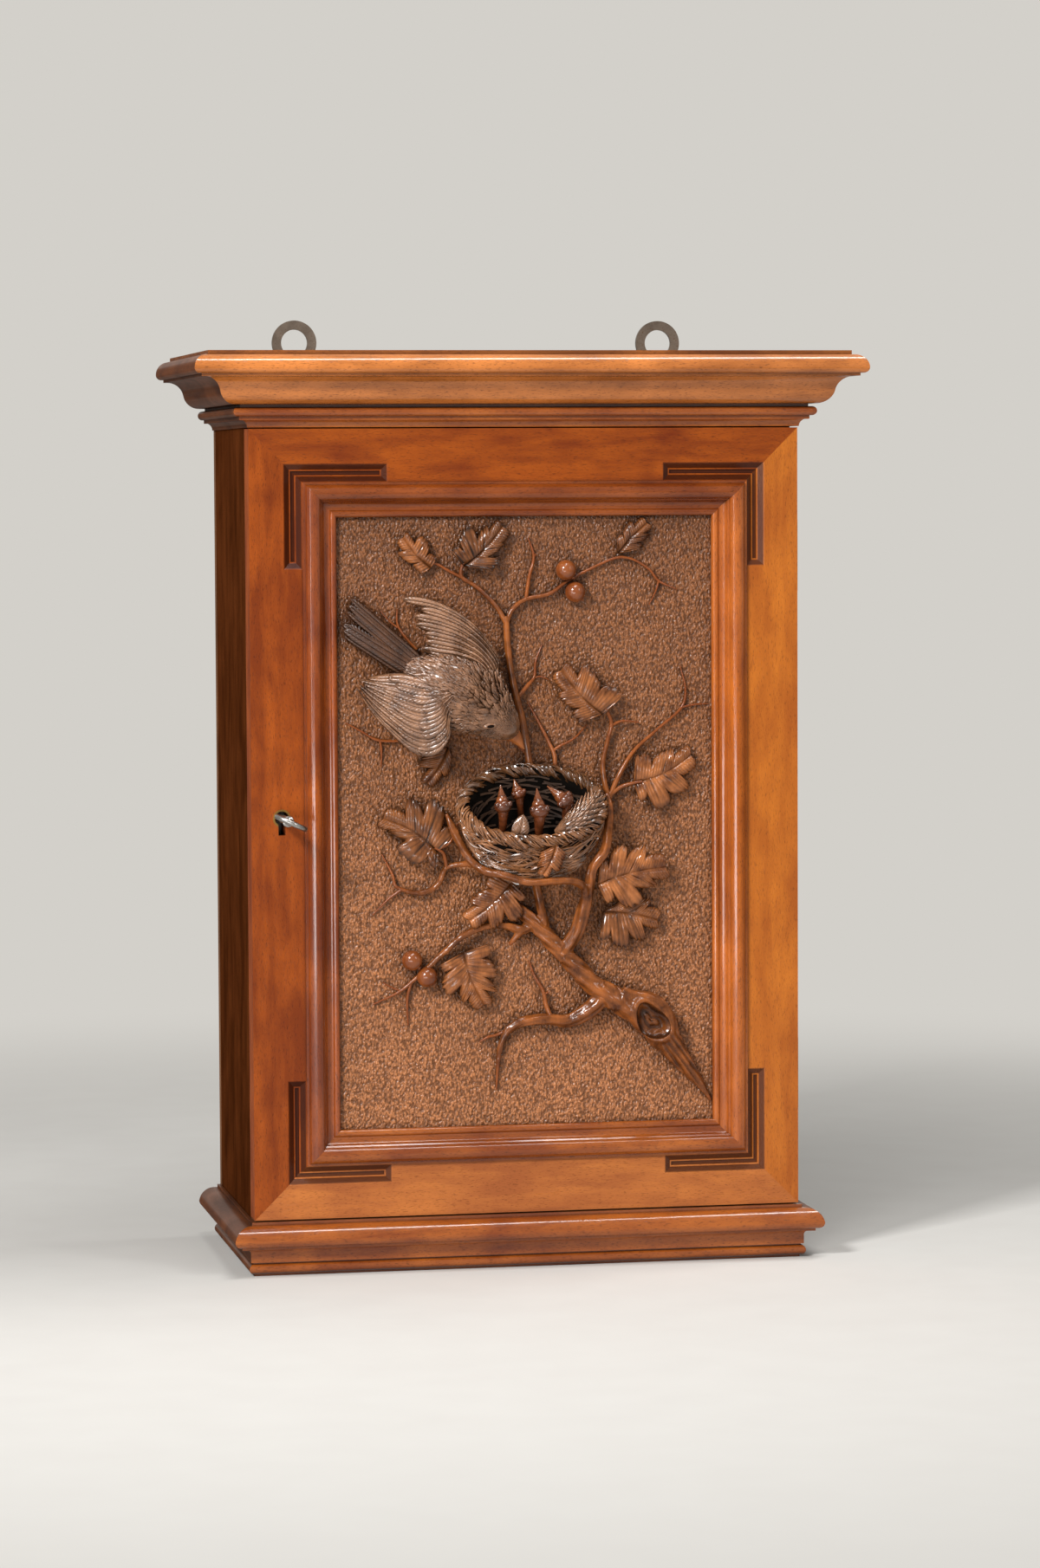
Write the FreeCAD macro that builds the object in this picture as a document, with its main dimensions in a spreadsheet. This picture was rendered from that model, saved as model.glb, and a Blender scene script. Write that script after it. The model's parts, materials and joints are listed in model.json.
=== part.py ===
import FreeCAD, Part
import math
import os
import Sketcher
from FreeCAD import Matrix, Placement, Rotation, Vector

# Wooden wall cabinet with a carved door. Millimetres.
# X to the right, Y = 0 on the wall with the front at -Y, Z = 0 under the base.

SIZES = {
    # case
    "case_width": 330,
    "case_depth": 140,
    "side_thickness": 12,
    "back_thickness": 8,
    "board_thickness": 16,
    "base_height": 32,
    "shelf_thickness": 10,
    "shelf_housing": 4,
    "shelf_setback": 14,
    "lower_shelf_height": 150,
    "upper_shelf_height": 312,
    # door
    "door_height": 466,
    "door_thickness": 18,
    "door_gap": 0.8,
    "door_back_gap": 0.6,
    "frame_width": 41.5,
    "panel_thickness": 9,
    "panel_sunk": 5,
    "panel_clearance": 0.3,
    "bead_width": 8,
    # sunk channels at the corners of the door frame
    "channel_inset": 20.3,
    "channel_width": 11.2,
    "channel_arm": 62,
    "channel_depth": 2.6,
    "channel_bevel": 3.9,
    "quirk_edge": 0.5,
    "quirk_depth": 1.3,
    # bolection moulding round the panel
    "bolection_lap": 10,
    "bolection_lip": 10.5,
    "bolection_edge": 1.6,
    "bolection_fillet": 1.2,
    "bolection_round": 9.6,
    "bolection_rise": 4.1,
    "bolection_cove": 4.2,
    "bolection_bead": 4.2,
    "bolection_bead_top": 1.9,
    "bolection_arris": 0.8,
    # cornice: crown, neck and lid
    "neck_height": 13.3,
    "neck_toe": 0.8,
    "neck_cove_width": 2.8,
    "neck_cove_height": 4.2,
    "neck_fillet": 6.0,
    "neck_fillet_height": 2.1,
    "neck_bead_seat": 7.2,
    "neck_bead_height": 5.4,
    "neck_bead_bulge": 2.55,
    "neck_quirk": 5.4,
    "crown_height": 28.6,
    "crown_foot": 9,
    "cyma_width": 19.2,
    "cyma_height": 16,
    "crown_fillet_width": 2.6,
    "crown_fillet_height": 1.6,
    "nose_radius": 3.2,
    "crown_reach": 35.4,
    "lid_reveal": 2.4,
    "lid_reach": 26.6,
    "lid_block": 8,
    # plinth and foot bead
    "plinth_fillet": 1.9,
    "plinth_fillet_height": 1.8,
    "torus_seat": 4,
    "torus_drop": 8.2,
    "torus_under": 3.6,
    "torus_tuck": 2.7,
    "plinth_reach": 13.3,
    "plinth_step": 8.6,
    "plinth_step_height": 1.8,
    "plinth_cove_width": 3.2,
    "plinth_cove_height": 3.4,
    "plinth_frieze": 2.8,
    "foot_height": 8.2,
    "foot_top": 1.3,
    "foot_top_height": 0.8,
    "foot_bead_seat": 1.5,
    "foot_bead_bulge": 2.3,
    "foot_toe": 0.6,
    "foot_toe_height": 1.4,
    # hanging plates
    "eye_inset": 50.25,
    "eye_rise": 9.5,
    "eye_radius": 8.2,
    "eye_outer_radius": 13.8,
    "hanging_plate_thickness": 2.5,
    "hanging_stem_width": 18,
    "hanging_stem_drop": 8,
    # hinges
    "hinge_length": 41,
    "hinge_inset": 76.5,
    "leaf_width": 10,
    "leaf_thickness": 1.5,
    "knuckle_radius": 2.2,
    "pin_radius": 1.2,
    "pin_slack": 0.04,
    "pin_offset": 2.5,
    "knuckle_slack": 0.1,
    "finial_radius": 2.1,
    "finial_neck": 0.9,
    "finial_rise": 1.7,
    # lock and key
    "keyhole_inset": 18,
    "keyhole_height": 237.6,
    "bush_radius": 5.3,
    "bush_bore": 4.2,
    "bush_depth": 4,
    "keyway_width": 4.2,
    "keyway_drop": 10,
    "lock_clearance": 0.8,
    "lock_length": 28,
    "lock_depth": 11,
    "lock_plate": 1.5,
    "lock_plate_above": 19,
    "lock_plate_below": 24,
    "lock_box_above": 9,
    "bolt_height": 9.2,
    "bolt_drop": 2.9,
    "bolt_length": 22,
    "bolt_thickness": 3.4,
    "bolt_setback": 2.6,
    "bolt_slack": 0.15,
    "bolt_recess": 0.2,
    "bolt_throw": 7,
    "talon_start": 3,
    "talon_floor_start": 5.3,
    "talon_floor_end": 8.8,
    "talon_end": 9.3,
    "talon_clearance": 0.6,
    "talon_shoulder": 2.4,
    "key_shank_radius": 2.4,
    "key_slack": 0.06,
    "key_bit_radius": 8,
    "key_bit_thickness": 2.2,
    "key_bow_stand": 38,
    "key_bow_width": 21,
    "key_bow_length": 17,
    "key_bow_wall": 3.2,
    "key_bow_thickness": 3.2,
    "key_collar_radius": 3.4,
    "key_collar_length": 2.4,
    "key_tip": 0.4,
    "strike_thickness": 1.2,
    "strike_height": 26,
    "strike_width": 9,
    "strike_slack": 0.5,
    "strike_spare": 1,
    "strike_screw_edge": 3.5,
    # screws
    "screw_head_radius": 2.2,
    "screw_head_height": 1.3,
    "screw_shank_radius": 1.1,
    "screw_slack": 0.05,
    "screw_slot_width": 0.6,
    "screw_slot_depth": 0.5,
    "hardware_screw_length": 8,
    "strike_screw_length": 7,
    "hanging_screw_length": 16,
    "back_screw_length": 20,
    # carving
    "leaf_plate": 2.4,
    "berry_radius": 6.2,
    "nest_half_width": 44,
    "nest_half_height": 33,
    "nest_stand": 22,
    "nest_wall": 6.5,
    "nestling_head_radius": 6.2,
    "nestling_neck_radius": 6,
    "nestling_neck_length": 15,
    "nestling_beak_radius": 4.2,
    "nestling_beak_length": 14,
    "bird_body_length": 64,
    "bird_body_depth": 32,
    "bird_body_height": 36,
    "bird_seat": 1,
    "bird_neck_radius": 15,
    "bird_head_radius": 12,
    "bird_beak_radius": 6,
    "beak_tip_radius": 0.6,
    "wing_thickness": 5,
    "tail_thickness": 4,
}

KEY_REST_ANGLE = -25  # the bow as it stands, measured from +X towards +Z

doc = FreeCAD.newDocument("wall_cabinet")
sheet = doc.addObject("Spreadsheet::Sheet", "Sizes")
for row, (word, number) in enumerate(SIZES.items(), start=1):
    sheet.set(f"A{row}", word)
    sheet.set(f"B{row}", str(number))
    sheet.setAlias(f"B{row}", word)
doc.recompute()


class Size:
    # A length worked out from the sheet: its formula for expressions, and its value now.
    def __init__(self, formula, value):
        self.formula = formula
        self.value = value

    def __add__(self, other):
        other = as_size(other)
        return Size(f"({self.formula} + {other.formula})", self.value + other.value)

    def __sub__(self, other):
        other = as_size(other)
        return Size(f"({self.formula} - {other.formula})", self.value - other.value)

    def __mul__(self, other):
        other = as_size(other)
        return Size(f"({self.formula} * {other.formula})", self.value * other.value)

    def __truediv__(self, other):
        other = as_size(other)
        return Size(f"({self.formula} / {other.formula})", self.value / other.value)

    def __radd__(self, other):
        return as_size(other) + self

    def __rsub__(self, other):
        return as_size(other) - self

    def __rmul__(self, other):
        return as_size(other) * self

    def __neg__(self):
        return as_size(0) - self


class Sheet:
    # Reads a cell of the sheet as a Size, by its alias.
    def __getattr__(self, word):
        return Size(f"Sizes.{word}", float(sheet.get(word)))


def as_size(number):
    return number if isinstance(number, Size) else Size(f"({float(number)!r})", float(number))


d = Sheet()
pieces = {}


def bind(thing, name, length):
    thing.setExpression(name, as_size(length).formula)


def stand(thing, x, y, z):
    for axis, place in zip("xyz", (x, y, z)):
        bind(thing, f"Placement.Base.{axis}", place)


def piece(name, thing):
    # Names a finished sub-part, which gets a file of its own.
    thing.Label = name
    pieces[name] = thing
    return thing


def block(name, x, y, z):
    box = doc.addObject("Part::Box", name)
    for side, (low, high) in zip(("Length", "Width", "Height"), (x, y, z)):
        bind(box, side, as_size(high) - low)
    stand(box, x[0], y[0], z[0])
    return box


TURNS = {
    "Y": Rotation(Vector(1, 0, 0), -90),
    "Z": Rotation(),
}


def rod(name, start, axis, length, radius):
    round_bar = doc.addObject("Part::Cylinder", name)
    bind(round_bar, "Radius", radius)
    bind(round_bar, "Height", length)
    round_bar.Placement = Placement(Vector(), TURNS[axis])
    stand(round_bar, *start)
    return round_bar


def fuse(name, *things):
    joined = doc.addObject("Part::MultiFuse", name)
    joined.Shapes = list(things)
    return joined


def cut(name, base, *tools):
    result = doc.addObject("Part::Cut", name)
    result.Base = base
    result.Tool = tools[0] if len(tools) == 1 else fuse(f"{name}_tools", *tools)
    return result


def feature(name, shape):
    thing = doc.addObject("Part::Feature", name)
    thing.Shape = shape
    return thing


def sketch_in(body, name, plane, offset):
    sketch = body.newObject("Sketcher::SketchObject", name)
    support = next(f for f in body.Origin.OriginFeatures if f.Role == plane)
    sketch.AttachmentSupport = [(support, "")]
    sketch.MapMode = "FlatFace"
    bind(sketch, "AttachmentOffset.Base.z", offset)
    return sketch


def arc_between(start, end, radius):
    # The short arc from start to end. A positive radius turns left, a negative one turns right.
    middle = (start + end) * 0.5
    chord = end - start
    rise = math.sqrt(max(radius * radius - (chord.Length / 2) ** 2, 0))
    left = Vector(-chord.y, chord.x, 0).normalize()
    centre = middle + left * math.copysign(rise, radius)
    first, last = (start, end) if radius > 0 else (end, start)
    angles = [math.atan2(p.y - centre.y, p.x - centre.x) for p in (first, last)]
    if angles[1] < angles[0]:
        angles[1] += 2 * math.pi
    circle = Part.Circle(centre, Vector(0, 0, 1), abs(radius))
    return Part.ArcOfCircle(circle, *angles)


def draw(sketch, outline):
    # A closed outline of (x, y) corners. A third value on a corner is the radius of the arc that leads to it.
    corners = [tuple(as_size(value) for value in corner) for corner in outline]
    places = [Vector(corner[0].value, corner[1].value, 0) for corner in corners]
    starts, ends = [], []
    for i, corner in enumerate(corners):
        before, here = places[i - 1], places[i]
        if len(corner) == 3:
            edge = sketch.addGeometry(arc_between(before, here, corner[2].value), False)
            leads_left = corner[2].value > 0
            starts.append((edge, 1 if leads_left else 2))
            ends.append((edge, 2 if leads_left else 1))
        else:
            edge = sketch.addGeometry(Part.LineSegment(before, here), False)
            starts.append((edge, 1))
            ends.append((edge, 2))
    for i in range(len(corners)):
        sketch.addConstraint(Sketcher.Constraint("Coincident", *ends[i - 1], *starts[i]))
    for (edge, point), corner, place in zip(ends, corners, places):
        for kind, length, now in (("DistanceX", corner[0], place.x), ("DistanceY", corner[1], place.y)):
            number = sketch.addConstraint(Sketcher.Constraint(kind, -1, 1, edge, point, now))
            bind(sketch, f"Constraints[{number}]", length)
        if len(corner) == 3:
            radius = corner[2] if corner[2].value > 0 else -corner[2]
            number = sketch.addConstraint(Sketcher.Constraint("Radius", edge, radius.value))
            bind(sketch, f"Constraints[{number}]", radius)


def prism(name, plane, offset, length, outline, centred=False):
    # A body with one padded outline. XZ_Plane pads towards -Y, XY_Plane to +Z, YZ_Plane to +X.
    body = doc.addObject("PartDesign::Body", name)
    sketch = sketch_in(body, f"{name}_outline", plane, offset)
    draw(sketch, outline)
    pad = body.newObject("PartDesign::Pad", f"{name}_pad")
    pad.Profile = sketch
    bind(pad, "Length", length)
    if centred:
        pad.SideType = "Symmetric"
    return body


def mitre_block(name, corner, along, away, size):
    # A block that takes away what lies past a mitre, with one edge on the corner.
    x_dir, y_dir = Vector(*along).normalize(), Vector(*away).normalize()
    z_dir = x_dir.cross(y_dir)
    box = doc.addObject("Part::Box", name)
    for side in ("Length", "Width"):
        bind(box, side, size * 2)
    bind(box, "Height", size * 4)
    box.Placement = Placement(Vector(), Rotation(x_dir, y_dir, z_dir, "ZXY"))
    stand(box, *(place - round(z) * 2 * size for place, z in zip(corner, z_dir)))
    return box


# Main lines of the cabinet.
half = d.case_width / 2
door_back = -(d.case_depth + d.door_back_gap)
door_face = door_back - d.door_thickness
door_bottom = d.base_height + d.door_gap
door_top = door_bottom + d.door_height
neck_bottom = door_top + d.door_gap
crown_bottom = neck_bottom + d.neck_height
crown_top = crown_bottom + d.crown_height
cabinet_top = crown_top + d.lid_reveal
inner = half - d.side_thickness
panel_ground = door_face + d.panel_sunk
panel_half_width = half - d.frame_width - d.bolection_lip
panel_half_height = d.door_height / 2 - d.frame_width - d.bolection_lip
panel_middle = door_bottom + d.door_height / 2
key_x = -half + d.keyhole_inset
key_z = door_bottom + d.keyhole_height
hinge_x = half + d.pin_offset
hinge_y = door_back + d.door_back_gap / 2
hinge_heights = {"lower": door_bottom + d.hinge_inset, "upper": door_top - d.hinge_inset}
shelf_heights = {"lower": d.base_height + d.lower_shelf_height, "upper": d.base_height + d.upper_shelf_height}
lock_left = -inner + d.lock_clearance
bolt_low = key_z - d.bolt_drop - d.bolt_height
bolt_front = door_back + d.lock_plate + d.bolt_setback
bolt_back = bolt_front + d.bolt_thickness


# Screws. Each set is a group of separate solids, with the holes that it needs.
def screw(length, slack):
    head_radius, shank_radius = d.screw_head_radius.value + slack, d.screw_shank_radius.value + slack
    head = Part.makeCone(head_radius, shank_radius, d.screw_head_height.value)
    return head.fuse(Part.makeCylinder(shank_radius, length + slack)).removeSplitter()


def screws(name, length, heads, inward):
    turn = Rotation(Vector(0, 0, 1), Vector(*inward))
    places = [Placement(Vector(*(as_size(v).value for v in head)), turn) for head in heads]
    width, depth, across = d.screw_slot_width.value, d.screw_slot_depth.value, 2 * d.screw_head_radius.value
    slot = Part.makeBox(across, width, depth, Vector(-across / 2, -width / 2, 0))
    solid, hole = screw(length.value, 0).cut(slot), screw(length.value, d.screw_slack.value)
    sets = []
    for shape in (solid, hole):
        copies = [shape.copy() for _ in places]
        for copy, place in zip(copies, places):
            copy.Placement = place
        sets.append(Part.makeCompound(copies))
    piece(name, feature(name, sets[0]))
    return feature(f"{name}_holes", sets[1])


# Where the screws go.
leaf_screw_x = half - d.leaf_width / 2
leaf_screw_heights = [z + k * d.hinge_length / 3 for z in hinge_heights.values() for k in (-1, 0, 1)]
case_leaf_holes = screws(
    "hinge_case_screws", d.hardware_screw_length,
    [(leaf_screw_x, -d.case_depth, z) for z in leaf_screw_heights], (0, 1, 0))
door_leaf_holes = screws(
    "hinge_door_screws", d.hardware_screw_length,
    [(leaf_screw_x, door_back, z) for z in leaf_screw_heights], (0, -1, 0))
lock_screw_edge = d.screw_head_radius * 2
lock_holes = screws(
    "lock_screws", d.hardware_screw_length,
    [(x, door_back + d.lock_plate, z)
     for x in (lock_left + lock_screw_edge, lock_left + d.lock_length - lock_screw_edge)
     for z in (key_z + d.lock_plate_above - lock_screw_edge, key_z - d.lock_plate_below + lock_screw_edge)],
    (0, -1, 0))
strike_middle = bolt_low + d.bolt_height / 2
strike_y = (bolt_front + bolt_back) / 2
strike_holes = screws(
    "strike_screws", d.strike_screw_length,
    [(-inner, strike_y, strike_middle + k * (d.strike_height / 2 - d.strike_screw_edge)) for k in (-1, 1)],
    (-1, 0, 0))
back_screw_rows = 4
back_holes = screws(
    "back_panel_screws", d.back_screw_length,
    [(k * (half - d.side_thickness / 2), 0, d.base_height + (row + 0.5) * d.door_height / back_screw_rows)
     for k in (-1, 1) for row in range(back_screw_rows)],
    (0, -1, 0))
eye_x, eye_z = half - d.eye_inset, cabinet_top + d.eye_rise
stem_bottom = neck_bottom - d.hanging_stem_drop
hanging_holes = screws(
    "hanging_plate_screws", d.hanging_screw_length,
    [(k * eye_x, 0, z)
     for k in (-1, 1) for z in (crown_top - d.lid_block / 2, neck_bottom + d.board_thickness / 2)],
    (0, -1, 0))


# Case: sides, boards, back and shelves.
shelf_y = (-d.case_depth + d.shelf_setback, -d.back_thickness)
shelf_spans = {level: (low, low + d.shelf_thickness) for level, low in shelf_heights.items()}


def housing(side, level):
    edges = sorted((side * inner, side * (inner + d.shelf_housing)), key=lambda edge: edge.value)
    name = f"housing_{level}_{'right' if side > 0 else 'left'}"
    return block(name, edges, shelf_y, shelf_spans[level])


side_y = (-d.case_depth, -d.back_thickness)
side_z = (d.base_height, neck_bottom)
leaf_z = {name: (z - d.hinge_length / 2, z + d.hinge_length / 2) for name, z in hinge_heights.items()}
case_leaf_y = (-d.case_depth, -d.case_depth + d.leaf_thickness)
case_leaf_seats = [
    block(f"case_leaf_seat_{name}", (half - d.leaf_width, half), case_leaf_y, span)
    for name, span in leaf_z.items()]
strike_span = (strike_middle - d.strike_height / 2, strike_middle + d.strike_height / 2)
strike_sides = (strike_y - d.strike_width / 2, strike_y + d.strike_width / 2)
strike_seat = block("strike_seat", (-inner - d.strike_thickness, -inner), strike_sides, strike_span)
bolt_pocket_y = (bolt_front - d.strike_slack, bolt_back + d.strike_slack)
bolt_pocket_z = (bolt_low - d.strike_slack, bolt_low + d.bolt_height + d.strike_slack)
bolt_pocket = block(
    "bolt_pocket", (lock_left - d.bolt_throw - d.strike_spare, -inner), bolt_pocket_y, bolt_pocket_z)

piece("side_left", cut(
    "side_left_cut", block("side_left_board", (-half, -inner), side_y, side_z),
    housing(-1, "lower"), housing(-1, "upper"), strike_seat, bolt_pocket, strike_holes, back_holes))
piece("side_right", cut(
    "side_right_cut", block("side_right_board", (inner, half), side_y, side_z),
    housing(1, "lower"), housing(1, "upper"), *case_leaf_seats, case_leaf_holes, back_holes))
piece("case_top", cut(
    "case_top_cut", block("case_top_board", (-half, half), (door_face, -d.back_thickness),
                          (neck_bottom, neck_bottom + d.board_thickness)), hanging_holes))
piece("case_bottom", block(
    "case_bottom_board", (-half, half), (door_face, -d.back_thickness),
    (d.base_height - d.board_thickness, d.base_height)))
piece("base_board", block(
    "base_board_block", (-half, half), (door_face, -d.back_thickness), (0, d.base_height - d.board_thickness)))
shelf_end = inner + d.shelf_housing
for level, span in shelf_spans.items():
    piece(f"shelf_{level}", block(f"shelf_{level}_board", (-shelf_end, shelf_end), shelf_y, span))


# Hanging plates, let in flush with the wall side.
def hanging_plate(name, side):
    x = side * eye_x
    front = -d.hanging_plate_thickness
    stem_x = (x - d.hanging_stem_width / 2, x + d.hanging_stem_width / 2)
    stem = block(f"{name}_stem", stem_x, (front, 0), (stem_bottom, eye_z))
    disc = rod(f"{name}_disc", (x, front, eye_z), "Y", d.hanging_plate_thickness, d.eye_outer_radius)
    eye = rod(f"{name}_eye", (x, front, eye_z), "Y", d.hanging_plate_thickness, d.eye_radius)
    piece(name, cut(f"{name}_cut", fuse(f"{name}_blank", stem, disc), eye, hanging_holes))
    return block(f"{name}_seat", stem_x, (front, 0), (stem_bottom, cabinet_top))


plate_seats = [hanging_plate("hanging_plate_left", -1), hanging_plate("hanging_plate_right", 1)]
lid_low = crown_top - d.lid_block
piece("back_panel", cut(
    "back_panel_cut", block("back_panel_board", (-half, half), (-d.back_thickness, 0), (0, lid_low)),
    *plate_seats, hanging_holes, back_holes))
lid_block = block("lid_block", (-half, half), (door_face, 0), (lid_low, crown_top))
lid_half = half + d.lid_reach
lid_plate = block("lid_plate", (-lid_half, lid_half), (door_face - d.lid_reach, 0), (crown_top, cabinet_top))
lid_blank = fuse("lid_blank", lid_block, lid_plate)
piece("cornice_lid", cut("cornice_lid_cut", lid_blank, *plate_seats, hanging_holes))


# Mouldings that run round the front and both sides, mitred at the front corners.
def moulding_run(name, reach, low, height, outline):
    # The outline's corners are (projection from the case, height above low, radius).
    def turned(sign, origin):
        placed = []
        for out, up, *radius in outline:
            spot = (origin + sign * as_size(out), low + up)
            placed.append(spot + tuple(sign * as_size(r) for r in radius))
        return placed

    corner_right, corner_left = (half, door_face, low), (-half, door_face, low)
    out_right, out_left = (1, -1, 0), (-1, -1, 0)
    size = reach + height
    front = prism(
        f"{name}_front_run", "YZ_Plane", 0, d.case_width + 2 * reach, turned(-1, door_face), centred=True)
    piece(f"{name}_front", cut(
        f"{name}_front_cut", front,
        mitre_block(f"{name}_front_mitre_right", corner_right, out_right, (1, 1, 0), size),
        mitre_block(f"{name}_front_mitre_left", corner_left, out_left, (-1, 1, 0), size)))
    for side, sign, corner, out in (("left", -1, corner_left, out_left), ("right", 1, corner_right, out_right)):
        run = prism(f"{name}_{side}_run", "XZ_Plane", 0, reach - door_face, turned(sign, sign * half))
        away = (-sign, -1, 0)
        piece(f"{name}_{side}", cut(
            f"{name}_{side}_cut", run, mitre_block(f"{name}_{side}_mitre", corner, out, away, size)))


def arc_radius(half_chord, bulge):
    # Radius of an arc that stands out by bulge over a chord.
    return (half_chord * half_chord + bulge * bulge) / (2 * bulge)


cyma_radius = arc_radius(d.cyma_width / 2, d.cyma_height / 2)
fillet_out = d.crown_foot + d.cyma_width + d.crown_fillet_width
nose_low = d.cyma_height + d.crown_fillet_height
nose_run = d.crown_reach - d.lid_reach
nose_rise = d.crown_height - nose_low - d.nose_radius
nose_top_radius = arc_radius(nose_rise, nose_run)
moulding_run("cornice", d.crown_reach, crown_bottom, d.crown_height, [
    (0, 0),
    (d.crown_foot, 0),
    (d.crown_foot + d.cyma_width / 2, d.cyma_height / 2, cyma_radius),
    (d.crown_foot + d.cyma_width, d.cyma_height, -cyma_radius),
    (fillet_out, d.cyma_height),
    (fillet_out, nose_low),
    (d.crown_reach - d.nose_radius, nose_low),
    (d.crown_reach, nose_low + d.nose_radius, d.nose_radius),
    (d.lid_reach, d.crown_height, nose_top_radius),
    (0, d.crown_height),
])

neck_cove_radius = arc_radius(d.neck_cove_height, d.neck_cove_width)
neck_bead_low = d.neck_cove_height + d.neck_fillet_height
neck_bead_high = neck_bead_low + d.neck_bead_height
neck_bead_radius = arc_radius(d.neck_bead_height / 2, d.neck_bead_bulge)
moulding_run("neck", d.neck_bead_seat + d.neck_bead_bulge, neck_bottom, d.neck_height, [
    (0, 0),
    (d.neck_toe, 0),
    (d.neck_toe + d.neck_cove_width, d.neck_cove_height, -neck_cove_radius),
    (d.neck_fillet, d.neck_cove_height),
    (d.neck_fillet, neck_bead_low),
    (d.neck_bead_seat, neck_bead_low),
    (d.neck_bead_seat, neck_bead_high, neck_bead_radius),
    (d.neck_quirk, neck_bead_high),
    (d.neck_quirk, d.neck_height),
    (0, d.neck_height),
])

torus_run = d.plinth_reach - d.torus_seat
torus_radius = arc_radius(torus_run, d.torus_drop)
under_radius = arc_radius(d.torus_under, d.torus_tuck)
cove_radius = arc_radius(d.plinth_cove_width, d.plinth_cove_height)
plinth_height = d.base_height - d.foot_height
torus_top = plinth_height - d.plinth_fillet_height
torus_middle = torus_top - d.torus_drop
torus_low = torus_middle - d.torus_under
step_low = torus_low - d.plinth_step_height
moulding_run("plinth", d.plinth_reach, d.foot_height, plinth_height, [
    (0, 0),
    (d.plinth_frieze, 0),
    (d.plinth_frieze, step_low - d.plinth_cove_height),
    (d.plinth_frieze + d.plinth_cove_width, step_low, -cove_radius),
    (d.plinth_step, step_low),
    (d.plinth_step, torus_low),
    (d.plinth_reach - d.torus_tuck, torus_low),
    (d.plinth_reach, torus_middle, under_radius),
    (d.torus_seat, torus_top, torus_radius),
    (d.plinth_fillet, torus_top),
    (d.plinth_fillet, plinth_height),
    (0, plinth_height),
])

foot_bead_high = d.foot_height - d.foot_top_height
foot_bead_radius = arc_radius((foot_bead_high - d.foot_toe_height) / 2, d.foot_bead_bulge)
moulding_run("foot_bead", d.foot_bead_seat + d.foot_bead_bulge, as_size(0), d.foot_height, [
    (0, 0),
    (d.foot_toe, 0),
    (d.foot_toe, d.foot_toe_height),
    (d.foot_bead_seat, d.foot_toe_height),
    (d.foot_bead_seat, foot_bead_high, foot_bead_radius),
    (d.foot_top, foot_bead_high),
    (d.foot_top, d.foot_height),
    (0, d.foot_height),
])


# Door frame: mitred stiles and rails, with a sunk L-shaped channel at each corner.
def frame_member(name, side, half_width, low, high, width, back, thickness):
    if side in ("left", "right"):
        sign = -1 if side == "left" else 1
        edge, sight = sign * half_width, sign * (half_width - width)
        outline = [(edge, low), (sight, low + width), (sight, high - width), (edge, high)]
    else:
        edge, sight = (low, low + width) if side == "bottom" else (high, high - width)
        sight_x = half_width - width
        outline = [(-half_width, edge), (half_width, edge), (sight_x, sight), (-sight_x, sight)]
    return prism(name, "XZ_Plane", -back, thickness, outline)


def channel_tool(name, x_side, z_side):
    start_x = half - d.channel_inset
    start_z = (door_top if z_side > 0 else door_bottom) - z_side * d.channel_inset

    def outline(inset):
        short, long = d.channel_width - inset, d.channel_arm - inset
        steps = [(inset, inset), (long, inset), (long, short), (short, short), (short, long), (inset, long)]
        return [(x_side * (start_x - i), start_z - z_side * j) for i, j in steps]

    body = doc.addObject("PartDesign::Body", name)
    mouth = sketch_in(body, f"{name}_mouth", "XZ_Plane", -door_face)
    draw(mouth, outline(as_size(0)))
    floor = sketch_in(body, f"{name}_floor", "XZ_Plane", -door_face - d.channel_depth)
    draw(floor, outline(d.channel_bevel))
    bevels = body.newObject("PartDesign::AdditiveLoft", f"{name}_bevels")
    bevels.Profile = mouth
    bevels.Sections = [floor]
    bevels.Ruled = True
    quirk = sketch_in(body, f"{name}_quirk", "XZ_Plane", -door_face - d.channel_depth)
    draw(quirk, outline(d.channel_bevel + d.quirk_edge))
    groove = body.newObject("PartDesign::Pad", f"{name}_groove")
    groove.Profile = quirk
    groove.Reversed = True
    bind(groove, "Length", d.quirk_depth)
    return body


corner_names = {(-1, -1): "bottom_left", (-1, 1): "top_left", (1, -1): "bottom_right", (1, 1): "top_right"}
channels = {corner: channel_tool(f"channel_{name}", *corner) for corner, name in corner_names.items()}
frame_sizes = (half, door_bottom, door_top, d.frame_width, door_back, d.door_thickness)

bush_seat = rod("bush_seat", (key_x, door_face, key_z), "Y", d.bush_depth, d.bush_radius)
keyway_x = (key_x - d.keyway_width / 2, key_x + d.keyway_width / 2)
keyway_z = (key_z - d.keyway_drop, key_z)
keyway = block("keyway", keyway_x, (door_face, door_back), keyway_z)
key_bore = rod("key_bore", (key_x, door_face, key_z), "Y", d.door_thickness, d.bush_bore)
door_leaf_y = (door_back - d.leaf_thickness, door_back)
door_leaf_seats = [
    block(f"door_leaf_seat_{name}", (half - d.leaf_width, half), door_leaf_y, span)
    for name, span in leaf_z.items()]

piece("door_stile_lock", cut(
    "stile_lock_cut", frame_member("stile_lock_blank", "left", *frame_sizes),
    channels[-1, -1], channels[-1, 1], bush_seat, keyway, key_bore, lock_holes))
piece("door_stile_hinge", cut(
    "stile_hinge_cut", frame_member("stile_hinge_blank", "right", *frame_sizes),
    channels[1, -1], channels[1, 1], *door_leaf_seats, door_leaf_holes))
for side, z in (("top", 1), ("bottom", -1)):
    blank = frame_member(f"rail_{side}_blank", side, *frame_sizes)
    piece(f"door_rail_{side}", cut(f"rail_{side}_cut", blank, channels[-1, z], channels[1, z]))

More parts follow.
